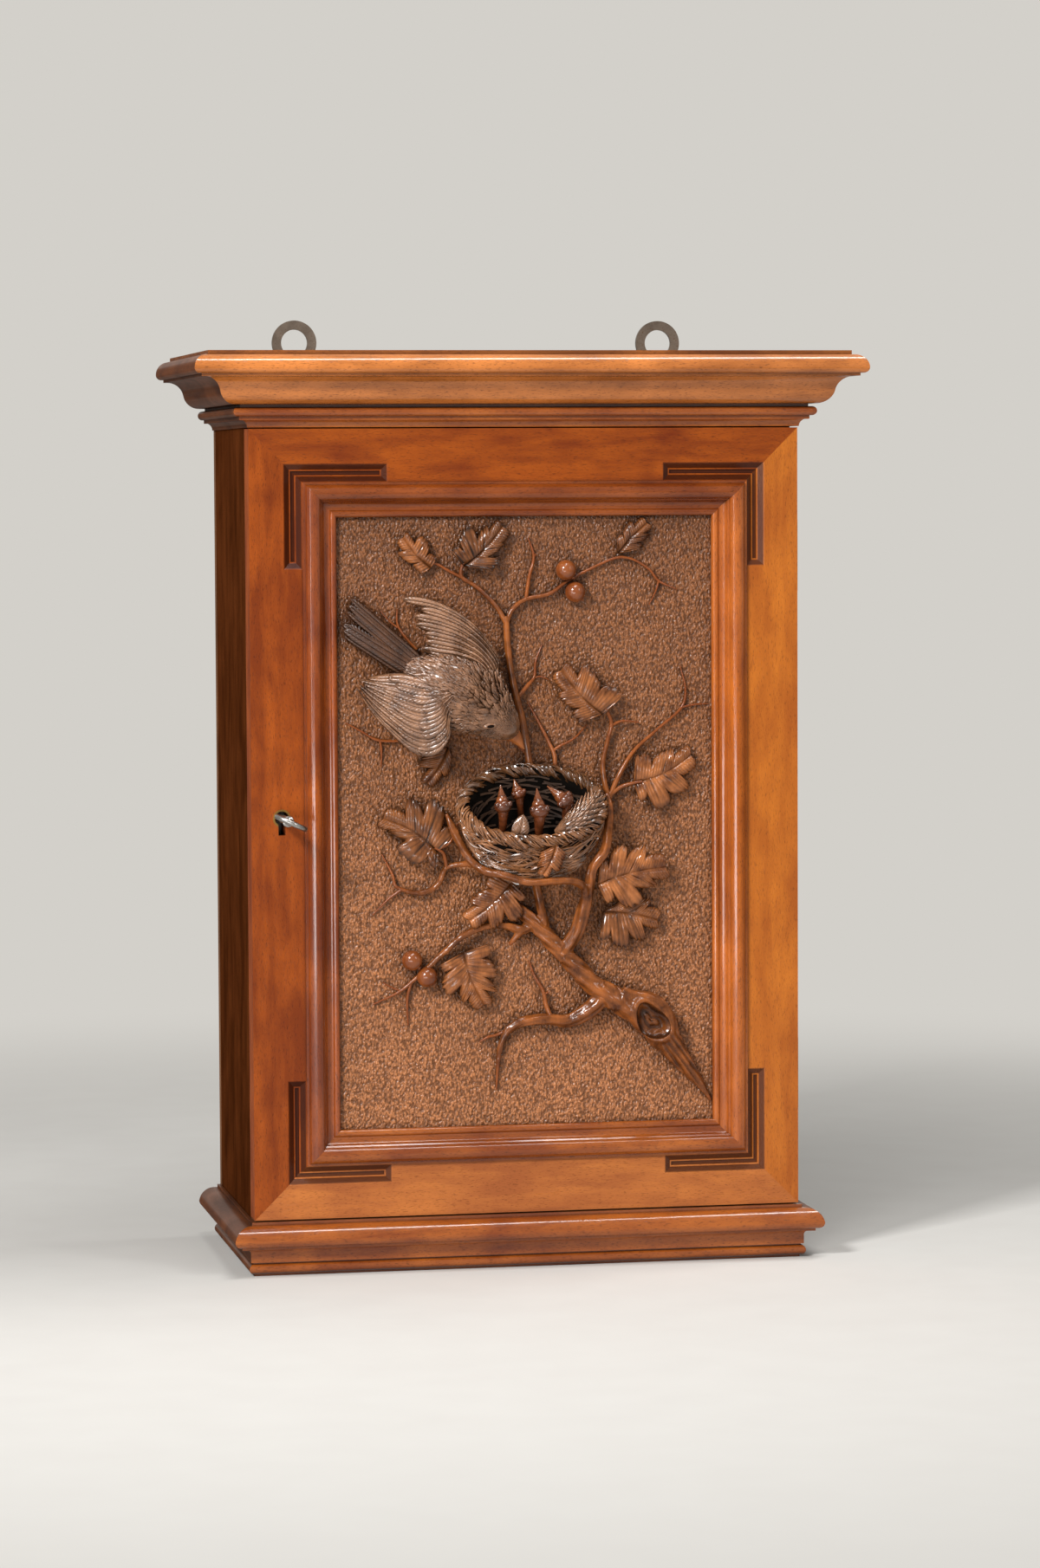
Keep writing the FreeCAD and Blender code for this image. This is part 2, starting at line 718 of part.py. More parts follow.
# Panel, with its bolection moulding in front and retaining beads behind.
opening = half - d.frame_width
opening_low, opening_high = door_bottom + d.frame_width, door_top - d.frame_width
slack = d.panel_clearance
panel_back = panel_ground + d.panel_thickness
piece("door_panel", block(
    "panel_board", (-opening + slack, opening - slack), (panel_ground, panel_back),
    (opening_low + slack, opening_high - slack)))
beads = doc.addObject("Part::Compound", "panel_beads_group")
beads.Links = [
    frame_member(f"panel_bead_{side}", side, opening, opening_low, opening_high, d.bead_width, door_back,
                 door_back - panel_back)
    for side in ("top", "bottom", "left", "right")]
piece("panel_retaining_beads", beads)

bolection_x = opening + d.bolection_lap
bolection_low, bolection_high = opening_low - d.bolection_lap, opening_high + d.bolection_lap
bolection_width = d.bolection_lap + d.bolection_lip
round_radius = arc_radius(d.bolection_round / 2, d.bolection_rise)
round_end = d.bolection_fillet + d.bolection_round
bead_start = bolection_width - d.bolection_bead
cove_fall = d.bolection_edge + d.bolection_bead_top
bolection_cove_radius = arc_radius(cove_fall, d.bolection_cove)
# corners are (distance in from the outer edge, height above the door face, radius)
bolection_outline = [
    (0, 0),
    (d.bolection_lap, 0),
    (d.bolection_lap, -d.panel_sunk),
    (bolection_width, -d.panel_sunk),
    (bolection_width, -d.bolection_bead_top - d.bolection_arris),
    (bead_start, -d.bolection_bead_top, d.bolection_bead / 2 + d.bolection_arris / 4),
    (round_end + d.bolection_arris, d.bolection_edge - d.bolection_arris, -bolection_cove_radius),
    (round_end, d.bolection_edge),
    (d.bolection_fillet, d.bolection_edge, round_radius),
    (0, d.bolection_edge),
]


def bolection(side):
    name = f"panel_moulding_{side}"
    ends = {-1: -bolection_x, 1: bolection_x}
    heights = {-1: bolection_low, 1: bolection_high}
    if side in ("left", "right"):
        sign = -1 if side == "left" else 1
        outline = [(sign * (bolection_x - i), door_face - t, *(sign * as_size(r) for r in radius))
                   for i, t, *radius in bolection_outline]
        run = prism(f"{name}_run", "XY_Plane", bolection_low, bolection_high - bolection_low, outline)
        ends_cut = [((ends[sign], door_face, heights[k]), (-sign, 0, -k), (-sign, 0, k)) for k in (-1, 1)]
    else:
        sign = -1 if side == "bottom" else 1
        outline = [(door_face - t, heights[sign] - sign * i, *(-sign * as_size(r) for r in radius))
                   for i, t, *radius in bolection_outline]
        run = prism(f"{name}_run", "YZ_Plane", 0, 2 * bolection_x, outline, centred=True)
        ends_cut = [((ends[k], door_face, heights[sign]), (-k, 0, -sign), (k, 0, -sign)) for k in (-1, 1)]
    blocks = [mitre_block(f"{name}_mitre_{i}", *spec, bolection_width) for i, spec in enumerate(ends_cut)]
    piece(name, cut(f"{name}_cut", run, *blocks))


for side in ("top", "bottom", "left", "right"):
    bolection(side)


# Hinges: two leaves with two knuckles each on one pin with ball ends.
KNUCKLES = 4


def hinge_leaf(name, level, plate_y, own_knuckles, holes):
    low, high = leaf_z[level]
    pitch = d.hinge_length / KNUCKLES
    bore = d.pin_radius + d.pin_slack
    shapes = [block(f"{name}_plate", (half - d.leaf_width, half), plate_y, (low, high))]
    for k in own_knuckles:
        start, length = low + k * pitch + d.knuckle_slack / 2, pitch - d.knuckle_slack
        shapes.append(rod(f"{name}_knuckle_{k}", (hinge_x, hinge_y, start), "Z", length, d.knuckle_radius))
        shapes.append(block(f"{name}_tongue_{k}", (half, hinge_x - bore), plate_y, (start, start + length)))
    pin_hole = rod(f"{name}_pin_hole", (hinge_x, hinge_y, low), "Z", d.hinge_length, bore)
    piece(name, cut(f"{name}_cut", fuse(f"{name}_blank", *shapes), pin_hole, holes))


def hinge_pin(name, level):
    low, high = leaf_z[level]
    shapes = [rod(f"{name}_rod", (hinge_x, hinge_y, low - d.finial_neck), "Z",
                  d.hinge_length + 2 * d.finial_neck, d.pin_radius)]
    collar = d.finial_neck - d.knuckle_slack
    for end, collar_low, ball_z in (("lower", low - d.finial_neck, low - d.finial_neck - d.finial_rise),
                                    ("upper", high + d.knuckle_slack, high + d.finial_neck + d.finial_rise)):
        shapes.append(rod(f"{name}_{end}_collar", (hinge_x, hinge_y, collar_low), "Z", collar, d.knuckle_radius))
        ball = doc.addObject("Part::Sphere", f"{name}_{end}_ball")
        bind(ball, "Radius", d.finial_radius)
        stand(ball, hinge_x, hinge_y, ball_z)
        shapes.append(ball)
    piece(name, fuse(f"{name}_whole", *shapes))


for level in hinge_heights:
    hinge_leaf(f"hinge_{level}_case_leaf", level, case_leaf_y, (1, 3), case_leaf_holes)
    hinge_leaf(f"hinge_{level}_door_leaf", level, door_leaf_y, (0, 2), door_leaf_holes)
    hinge_pin(f"hinge_{level}_pin", level)

# Keyhole bush, strike plate and rim lock.
piece("keyhole_bush", cut("keyhole_bush_cut", bush_seat, key_bore, keyway))
strike_blank = block("strike_blank", (-inner - d.strike_thickness, -inner), strike_sides, strike_span)
piece("strike_plate", cut("strike_plate_cut", strike_blank, bolt_pocket, strike_holes))

lock_right = lock_left + d.lock_length
lock_back = door_back + d.lock_depth
cover_front = lock_back - d.lock_plate
box_low, box_high = bolt_low - d.bolt_slack - d.lock_plate, key_z + d.lock_box_above
shank_bore = d.key_shank_radius + d.key_slack
lock_plate = block("lock_base", (lock_left, lock_right), (door_back, door_back + d.lock_plate),
                   (key_z - d.lock_plate_below, key_z + d.lock_plate_above))
lock_box = block("lock_box", (lock_left, lock_right), (door_back, cover_front), (box_low, box_high))
lock_hollow = block("lock_hollow", (lock_left + d.lock_plate, lock_right - d.lock_plate),
                    (door_back + d.lock_plate, cover_front), (box_low + d.lock_plate, box_high - d.lock_plate))
bolt_mouth = block("bolt_mouth", (lock_left, lock_left + d.lock_plate),
                   (bolt_front - d.bolt_slack, bolt_back + d.bolt_slack),
                   (bolt_low - d.bolt_slack, bolt_low + d.bolt_height + d.bolt_slack))
lock_bore = rod("lock_bore", (key_x, door_back, key_z), "Y", d.lock_depth, shank_bore)
lock_keyway = block("lock_keyway", keyway_x, (door_back, door_back + d.lock_plate), keyway_z)
piece("lock_case", cut("lock_case_cut", fuse("lock_case_blank", lock_plate, lock_box),
                       lock_hollow, bolt_mouth, lock_bore, lock_keyway, lock_holes))
cover_blank = block("cover_blank", (lock_left, lock_right), (cover_front, lock_back), (box_low, box_high))
piece("lock_cover", cut("lock_cover_cut", cover_blank, lock_bore))

# The bolt, with the notch that the key's bit works in.
bolt_left = lock_left + d.bolt_recess
bolt_top = bolt_low + d.bolt_height
talon_floor = key_z - d.key_bit_radius - d.talon_clearance
talon = [
    (d.talon_start, bolt_top),
    (d.talon_floor_start, talon_floor),
    (d.talon_floor_end, talon_floor),
    (d.talon_end, bolt_top - d.talon_shoulder),
    (d.talon_end, bolt_top),
]
piece("lock_bolt", prism("bolt_blank", "XZ_Plane", -bolt_back, d.bolt_thickness, [
    (bolt_left, bolt_low),
    (bolt_left + d.bolt_length, bolt_low),
    (bolt_left + d.bolt_length, bolt_top),
    *[(key_x + x, z) for x, z in reversed(talon)],
    (bolt_left, bolt_top),
]))


# The key, made along its own -Y axis and then turned to the angle at which it stands.
def key():
    bow_y = door_face - d.key_bow_stand
    tip_y = lock_back + d.key_tip
    shank_start = bow_y + d.key_bow_length / 2 - d.key_bow_wall / 2
    shank = rod("key_shank", (0, shank_start, 0), "Y", tip_y - shank_start, d.key_shank_radius)
    collar_start = shank_start + d.key_bow_wall
    collar = rod("key_collar", (0, collar_start, 0), "Y", d.key_collar_length, d.key_collar_radius)
    bit = block("key_bit", (0, d.key_bit_radius), (bolt_front, bolt_back),
                (-d.key_bit_thickness / 2, d.key_bit_thickness / 2))
    bow = doc.addObject("PartDesign::Body", "key_bow")
    sketch = sketch_in(bow, "key_bow_outline", "XY_Plane", -d.key_bow_thickness / 2)
    for trim in (as_size(0), d.key_bow_wall):
        wide, long = d.key_bow_width / 2 - trim, d.key_bow_length / 2 - trim
        radius = arc_radius(wide, long)
        draw(sketch, [(wide, bow_y, radius), (-wide, bow_y, radius)])
    pad = bow.newObject("PartDesign::Pad", "key_bow_pad")
    pad.Profile = sketch
    bind(pad, "Length", d.key_bow_thickness)
    whole = fuse("key_whole", shank, collar, bit, bow)
    whole.Placement = Placement(Vector(), Rotation(Vector(0, 1, 0), -KEY_REST_ANGLE))
    stand(whole, key_x, 0, key_z)
    piece("key", whole)


key()


# Carving. Points are (across, up, out) on a grid: steps from the middle of the panel, and out from its ground.
STEPS_TO_SIDE, STEPS_TO_TOP = 113, 181
stretch_x = panel_half_width.value / STEPS_TO_SIDE
stretch_z = panel_half_height.value / STEPS_TO_TOP


def spot(across, up, out):
    return Vector(across * stretch_x, panel_ground.value - out * stretch_x, panel_middle.value + up * stretch_z)


def above_ground(shape):
    room = Part.makeBox(2 * opening.value, d.case_depth.value, d.door_height.value)
    room.translate(Vector(-opening.value, panel_ground.value - d.case_depth.value, door_bottom.value))
    return shape.common(room)


def joined(shapes):
    return shapes[0].multiFuse(shapes[1:])


def limb(points):
    # A branch through (across, up, out, radius), round in section.
    places = [spot(*point[:3]) for point in points]
    rings = []
    for i, (place, point) in enumerate(zip(places, points)):
        ahead, behind = places[min(i + 1, len(places) - 1)], places[max(i - 1, 0)]
        rings.append(Part.Wire(Part.makeCircle(point[3] * stretch_x, place, ahead - behind)))
    return Part.makeLoft(rings, True, True)


LIMBS = {
    "trunk": [(111, -169, 1, 0.9), (101, -153, 3, 3), (88, -135, 6, 7.5), (72, -117, 8, 9), (54, -108, 7, 6.6),
              (38, -97, 7, 5.7), (23, -81, 7, 5.2), (9, -66, 6, 4.6), (-4, -53, 4, 3.2)],
    "right_bough": [(20, -78, 7, 4), (30, -62, 10, 4), (34, -47, 13, 3.6), (36, -29, 16, 3), (44, -18, 17, 2.8),
                    (46, -4, 17, 2.6), (47, 14, 15, 1.8)],
    "under_nest": [(34, -47, 13, 2.6), (27, -38, 22, 2.4), (18, -34, 27, 2.3), (0, -34, 30, 2.2),
                   (-17, -31, 26, 2.2), (-31, -32, 18, 2.2), (-42, -22, 13, 2.4), (-51, 2, 10, 1.8)],
    "stub": [(10, -62, 6, 2.6), (6, -44, 7, 2.4), (5, -22, 6, 2.4)],
    "back_stem": [(38, -18, 3, 2.2), (49, 14, 3, 2), (46, 28, 3, 1.8), (48, 46, 3, 1.6), (51, 58, 4, 1.4),
                  (47, 68, 6, 1.2)],
    "low_bough": [(44, -104, 6, 5), (30, -117, 5, 4), (18, -120, 5, 3.6), (-4, -119, 4, 2.8), (-15, -127, 3, 2),
                  (-18, -142, 2, 1.4), (-19, -159, 1, 0.8)],
    "low_spur": [(-12, -124, 3, 1.6), (-21, -130, 2, 1.2), (-28, -132, 1, 0.7)],
    "low_thorn": [(11, -117, 5, 1.8), (8, -100, 4, 1.4), (2, -85, 2, 0.8)],
    "berry_bough": [(6, -60, 5, 3.4), (-8, -64, 5, 2.8), (-21, -62, 5, 2.4), (-36, -65, 5, 2.1),
                    (-62, -84, 4, 1.7), (-77, -98, 3, 1.2), (-93, -107, 1, 0.7)],
    "berry_spur": [(-70, -93, 3, 1.2), (-73, -104, 2, 1), (-72, -119, 1, 0.7)],
    "left_bough": [(-18, -22, 12, 2), (-37, -25, 6, 1.7), (-47, -26, 5, 1.6), (-55, -37, 4, 1.6),
                   (-66, -41, 4, 1.5), (-78, -37, 3, 1.2), (-85, -20, 1, 0.7)],
    "left_spur": [(-75, -38, 3, 1.3), (-90, -51, 1, 0.7)],
    "leaf_stalk": [(-48, -28, 5, 1.4), (-50, -19, 7, 1.4), (-55, -14, 8, 1.2)],
    "tall_stem": [(2, 30, 3, 2.6), (-3, 62, 3, 2.5), (-9, 88, 3, 2.4), (-12, 122, 3, 2.2)],
    "tall_left": [(-11, 117, 3, 2), (-20, 131, 3, 1.7), (-38, 145, 3, 1.4), (-40, 154, 4, 1.1)],
    "tall_right": [(-12, 119, 3, 2), (-3, 131, 3, 1.6), (18, 137, 3, 1.4), (35, 147, 2, 1.1), (57, 156, 2, 1),
                   (70, 153, 2, 0.9), (80, 144, 2, 0.9), (91, 138, 1, 0.6)],
    "tall_twig": [(0, 132, 3, 1.4), (3, 146, 3, 1.1), (6, 157, 2, 0.9), (3, 168, 1, 0.6)],
    "tall_spur": [(80, 144, 2, 0.8), (75, 129, 1, 0.6)],
    "small_leaf_stalk": [(-37, 144, 3, 1.2), (-48, 149, 2, 1), (-56, 153, 3, 0.9)],
    "middle_twig": [(-5, 76, 3, 1.7), (3, 88, 2, 1.2), (10, 101, 1, 0.7)],
    "nest_twig": [(17, 24, 3, 1.7), (16, 43, 2, 1.4), (8, 60, 2, 1), (1, 70, 1, 0.7)],
    "nest_spur": [(16, 41, 2, 1.2), (25, 45, 2, 1), (36, 55, 1, 0.6)],
    "right_twig": [(49, 14, 3, 1.8), (64, 40, 3, 1.4), (94, 67, 2, 1.1), (97, 78, 2, 0.9), (94, 90, 1, 0.6)],
    "right_spur": [(92, 66, 2, 1), (110, 67, 1, 0.6)],
    "right_leaf_stalk": [(50, 15, 3, 1.4), (60, 21, 4, 1.2), (67, 24, 6, 1)],
    "left_thorn": [(-106, 58, 1, 0.6), (-90, 49, 2, 1), (-80, 49, 2, 1)],
    "left_thorn_spur": [(-88, 50, 2, 0.9), (-86, 36, 1, 0.6)],
    "tail_thorn": [(-76, 127, 1, 0.6), (-75, 115, 2, 0.9), (-66, 104, 3, 1)],
}


def turned_plate(outline, thickness, place, turn):
    # A flat plate with the outline on its outer face, turned about its own origin and then put in its place.
    face = Part.Face(Part.makePolygon([Vector(x, 0, z) for x, z in outline + outline[:1]]))
    plate = face.extrude(Vector(0, thickness, 0))
    plate.Placement = Placement(place, turn)
    return plate


# Half of a lobed leaf: (along the midrib, out to the side), as shares of its length and width.
LEAF_EDGE = [(0.02, 0.05), (0.08, 0.30), (0.24, 0.42), (0.34, 0.24), (0.44, 0.50), (0.62, 0.46),
             (0.66, 0.20), (0.84, 0.27), (0.94, 0.12)]

# Each leaf: (across, up, out) of its base, the way its tip points, length, width, tip lift and side tilt.
LEAVES = [
    ((-55, 152, 3), 137, 25, 21, 8, 6),
    ((-38, 154, 3), 44, 30, 31, 8, -8),
    ((56, 156, 2), 59, 24, 18, 8, 8),
    ((48, 66, 5), 138, 36, 37, 8, -6),
    ((65, 23, 5), 20, 37, 33, 6, 8),
    ((-48, 38, 2), 222, 20, 18, 10, 6),
    ((-53, -15, 7), 150, 36, 40, 4, -8),
    ((-11, -37, 8), 228, 28, 29, -6, 8),
    ((-41, -75, 3), -62, 32, 31, 8, -8),
    ((39, -39, 9), 16, 40, 35, -9, 8),
    ((42, -55, 5), -22, 34, 26, 4, 8),
]


def leaf(base, points_to, length, width, lift, tilt):
    edge = [(a * length * stretch_x, b * width * stretch_x) for a, b in LEAF_EDGE]
    outline = edge + [(length * stretch_x, 0)] + [(a, -b) for a, b in reversed(edge)]
    turn = (Rotation(Vector(0, 1, 0), -points_to).multiply(Rotation(Vector(0, 0, 1), -lift))
            .multiply(Rotation(Vector(1, 0, 0), tilt)))
    return turned_plate(outline, d.leaf_plate.value, spot(*base), turn)


def ellipsoid(middle, half_sizes, turn=None):
    matrix = Matrix()
    matrix.scale(*half_sizes)
    ball = Part.makeSphere(1).transformGeometry(matrix)
    ball.Placement = Placement(middle, turn or Rotation())
    return ball


# Nest: a bowl, open upwards and to the front, with its back cut off by the ground.
NEST = (-2, 2, 12)
RIM_BACK, RIM_FRONT = (-2, 33, 8), (-2, -15, 30)


def above_rim():
    back, front = spot(*RIM_BACK), spot(*RIM_FRONT)
    across, inward = Vector(1, 0, 0), (back - front).normalize()
    size = 4 * d.nest_half_width.value
    box = Part.makeBox(size, size, size, Vector(-size / 2, -size / 2, 0))
    box.Placement = Placement(back, Rotation(across, inward, across.cross(inward), "XYZ"))
    return box


nest_sizes = (d.nest_half_width.value, d.nest_stand.value, d.nest_half_height.value)
nest_hollow = ellipsoid(spot(NEST[0], NEST[1] + 1, NEST[2] + 1), [s - d.nest_wall.value for s in nest_sizes])
nest_bowl = above_ground(ellipsoid(spot(*NEST), nest_sizes))
nest = nest_bowl.cut(nest_hollow).cut(above_rim())

# Nestlings: neck, head and upturned beak. Each is (across, up, out) of its head, with the lean of its beak.
NESTLINGS = [((-18, 8, 17), -1), ((4, 6, 17), 0), ((-1, 21, 17), 1), ((17, 16, 17), -4)]
NESTLING_FOOT_OUT = 4


def taper(start, end, start_radius, end_radius):
    way = end - start
    return Part.makeCone(start_radius.value, end_radius.value, way.Length, start, way)


def nestling(place, lean):
    head = spot(*place)
    foot = spot(place[0], 0, NESTLING_FOOT_OUT)
    foot.z = head.z - d.nestling_neck_length.value
    tip = spot(place[0] + lean, 0, place[2])
    tip.z = head.z + d.nestling_beak_length.value
    neck = taper(foot, head, d.nestling_neck_radius, d.nestling_neck_radius - d.beak_tip_radius)
    beak = taper(head, tip, d.nestling_beak_radius, d.beak_tip_radius)
    return Part.makeSphere(d.nestling_head_radius.value, head).multiFuse([neck, beak])


# Bird: body, head, beak, two spread wings and a forked tail.
BIRD_BODY, BIRD_HEAD, BIRD_BEAK = (-50, 84), (-22, 62, 20), (-7, 45, 17)
BODY_SLOPE = 36
UPPER_WING = [(-79, 137), (-60, 135), (-41, 124), (-26, 108), (-20, 94), (-24, 84), (-44, 92), (-64, 112)]
LOWER_WING = [(-106, 86), (-98, 68), (-84, 52), (-68, 44), (-56, 50), (-50, 66), (-60, 90), (-84, 92)]
TAIL = [(-62, 104), (-104, 136), (-108, 130), (-97, 114), (-111, 118), (-110, 110), (-60, 86)]


def feathers(outline, thickness, out, lift, turn_about):
    # A wing or the tail: its plate tilts so that its far end lies nearer to the ground.
    pivot = spot(*turn_about, out)
    flat = [spot(across, up, 0) - spot(*turn_about, 0) for across, up in outline]
    return turned_plate([(p.x, p.z) for p in flat], thickness, pivot, Rotation(Vector(*lift[:3]), lift[3]))


body_turn = Rotation(Vector(0, 1, 0), BODY_SLOPE)
body_halves = [size.value / 2 for size in (d.bird_body_length, d.bird_body_depth, d.bird_body_height)]
body_place, head_place, beak_place = spot(*BIRD_BODY, 0), spot(*BIRD_HEAD), spot(*BIRD_BEAK)
body_place.y -= body_halves[1] - d.bird_seat.value
bird_shapes = [
    ellipsoid(body_place, body_halves, body_turn),
    taper(body_place, head_place, d.bird_neck_radius, d.bird_head_radius - d.beak_tip_radius),
    Part.makeSphere(d.bird_head_radius.value, head_place),
    taper(head_place, beak_place, d.bird_beak_radius, d.beak_tip_radius),
    feathers(UPPER_WING, d.wing_thickness.value, 16, (1, 0, 1, 10), (-36, 92)),
    feathers(LOWER_WING, d.wing_thickness.value, 24, (-0.4, 0, 1, 12), (-54, 72)),
    feathers(TAIL, d.tail_thickness.value, 14, (0.6, 0, 1, 10), (-64, 94)),
]
bird = joined([above_ground(shape) for shape in bird_shapes])

BERRIES = [(-70, -81, 4), (-61, -91, 4), (24, 149, 4), (29, 136, 4)]


def clear_of(shape, others):
    # Where carved pieces meet, the one that stands further out keeps its whole form.
    for other in others:
        if shape.BoundBox.intersect(other.BoundBox):
            shape = shape.cut(other)
    return shape


limbs = [limb(points) for points in LIMBS.values()]
nestlings = clear_of(above_ground(joined([nestling(*spec) for spec in NESTLINGS])), [nest, bird])
branch = clear_of(above_ground(joined(limbs)), [nest_bowl, bird, nestlings])
berries = [
    clear_of(above_ground(Part.makeSphere(d.berry_radius.value, spot(*place))), limbs) for place in BERRIES]
leaves = [clear_of(above_ground(leaf(*spec)), [nest_bowl, bird, *limbs, *berries]) for spec in LEAVES]

for name, shape in (
    ("carved_branch", branch),
    ("carved_nest", nest),
    ("carved_bird", bird),
    ("carved_nestlings", nestlings),
    ("carved_berries", Part.makeCompound(berries)),
    ("carved_leaves", joined(leaves)),
):
    piece(name, feature(name, Part.makeCompound(shape.Solids)))

doc.recompute()
for thing in doc.Objects:
    if "Invalid" in thing.State or "Error" in thing.State:
        raise RuntimeError(f"{thing.Name} failed: {thing.State}")
for name, thing in pieces.items():
    if thing.Shape.isNull() or not thing.Shape.isValid() or not thing.Shape.Solids:
        raise RuntimeError(f"{name} has no sound shape")
os.makedirs("parts", exist_ok=True)
for name, thing in pieces.items():
    thing.Shape.exportStep(f"parts/{name}.step")
print(f"{len(pieces)} pieces")
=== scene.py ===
import json
import math

import bmesh
import bpy
import numpy as np
from mathutils import Matrix, Vector
from mathutils.kdtree import KDTree

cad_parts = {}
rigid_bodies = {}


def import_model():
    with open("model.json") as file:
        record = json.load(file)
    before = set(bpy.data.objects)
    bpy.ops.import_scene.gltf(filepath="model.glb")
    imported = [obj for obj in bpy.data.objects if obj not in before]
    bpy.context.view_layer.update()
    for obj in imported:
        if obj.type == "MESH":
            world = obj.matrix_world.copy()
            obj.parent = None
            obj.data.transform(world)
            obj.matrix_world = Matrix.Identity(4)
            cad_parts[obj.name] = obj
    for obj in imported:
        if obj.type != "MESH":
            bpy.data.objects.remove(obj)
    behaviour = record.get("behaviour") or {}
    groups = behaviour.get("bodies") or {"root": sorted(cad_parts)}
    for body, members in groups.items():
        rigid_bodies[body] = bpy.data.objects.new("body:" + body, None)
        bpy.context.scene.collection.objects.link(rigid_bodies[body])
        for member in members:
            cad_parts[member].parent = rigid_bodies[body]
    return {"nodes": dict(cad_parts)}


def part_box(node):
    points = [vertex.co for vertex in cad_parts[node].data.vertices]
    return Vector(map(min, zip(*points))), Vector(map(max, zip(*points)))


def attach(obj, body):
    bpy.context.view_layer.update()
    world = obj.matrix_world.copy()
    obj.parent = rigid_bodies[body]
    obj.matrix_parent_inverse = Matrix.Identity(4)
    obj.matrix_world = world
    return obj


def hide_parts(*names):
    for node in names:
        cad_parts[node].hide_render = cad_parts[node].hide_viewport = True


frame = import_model()
nodes = frame["nodes"]
room = bpy.context.scene.collection.objects
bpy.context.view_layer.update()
mm = 0.001
panelLow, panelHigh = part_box("door_panel")
groundY = panelLow[1]  # the carved ground, from which the relief stands out
panelX = (panelLow[0] + panelHigh[0]) / 2
panelZ = (panelLow[2] + panelHigh[2]) / 2
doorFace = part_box("door_stile_lock")[0][1]
print("frame loaded:", len(nodes), "nodes")


# finishes

mixBy, mixFrom, mixTo = 0, 6, 7  # a mix has several sockets of one name, so these go by number
vectorFrom, vectorTo = 4, 5


def tint(code):
    parts = [int(code[i:i + 2], 16) / 255 for i in (1, 3, 5)]
    return [c / 12.92 if c <= 0.04045 else ((c + 0.055) / 1.055) ** 2.4 for c in parts] + [1.0]


def wire(tree, node, sockets):
    # a node is linked by its first output in use, and a pair fills the Min and Max of its name
    for name, value in sockets.items():
        if isinstance(value, bpy.types.Node):
            value = next(output for output in value.outputs if output.enabled)
        if isinstance(value, bpy.types.NodeSocket):
            tree.links.new(value, node.inputs[name])
        elif f"{name} Min" in node.inputs:
            node.inputs[f"{name} Min"].default_value, node.inputs[f"{name} Max"].default_value = value
        else:
            node.inputs[name].default_value = value


def addNode(tree, kind, sockets=None, **settings):
    # a kind that names no family is a shader node
    node = tree.nodes.new(kind if kind.startswith(("Geometry", "Function")) else "ShaderNode" + kind)
    for name, value in settings.items():
        setattr(node, name, value)
    wire(tree, node, sockets or {})
    return node


def newFinish(name, **shader):
    finish = bpy.data.materials.new(name)
    finish.use_nodes = True
    tree = finish.node_tree
    surface = tree.nodes["Principled BSDF"]
    wire(tree, surface, {socket.replace("_", " "): value for socket, value in shader.items()})
    return finish, tree, surface


woodSizes = {  # mm
    "figureAcross": 9.0, "figureAlong": 60.0, "cloudAcross": 30.0, "cloudAlong": 60.0,
    "poreAcross": 0.5, "poreAlong": 2.6,  # real pores are finer, and drawn as coarse as they need to show
    "poreDeep": 0.15,
    "sunkFrom": 0.05, "sunkTo": 0.6,  # depth under the door's face over which a channel is painted dark as shade
    "rimFrom": 2.3, "rimTo": 2.72, "rimFade": 0.15,  # a strip on the channel's floor left out of the painted shade, as a painted highlight line
    "shadeReach": 5.0,  # quirks narrower than this are painted dark as shade
}


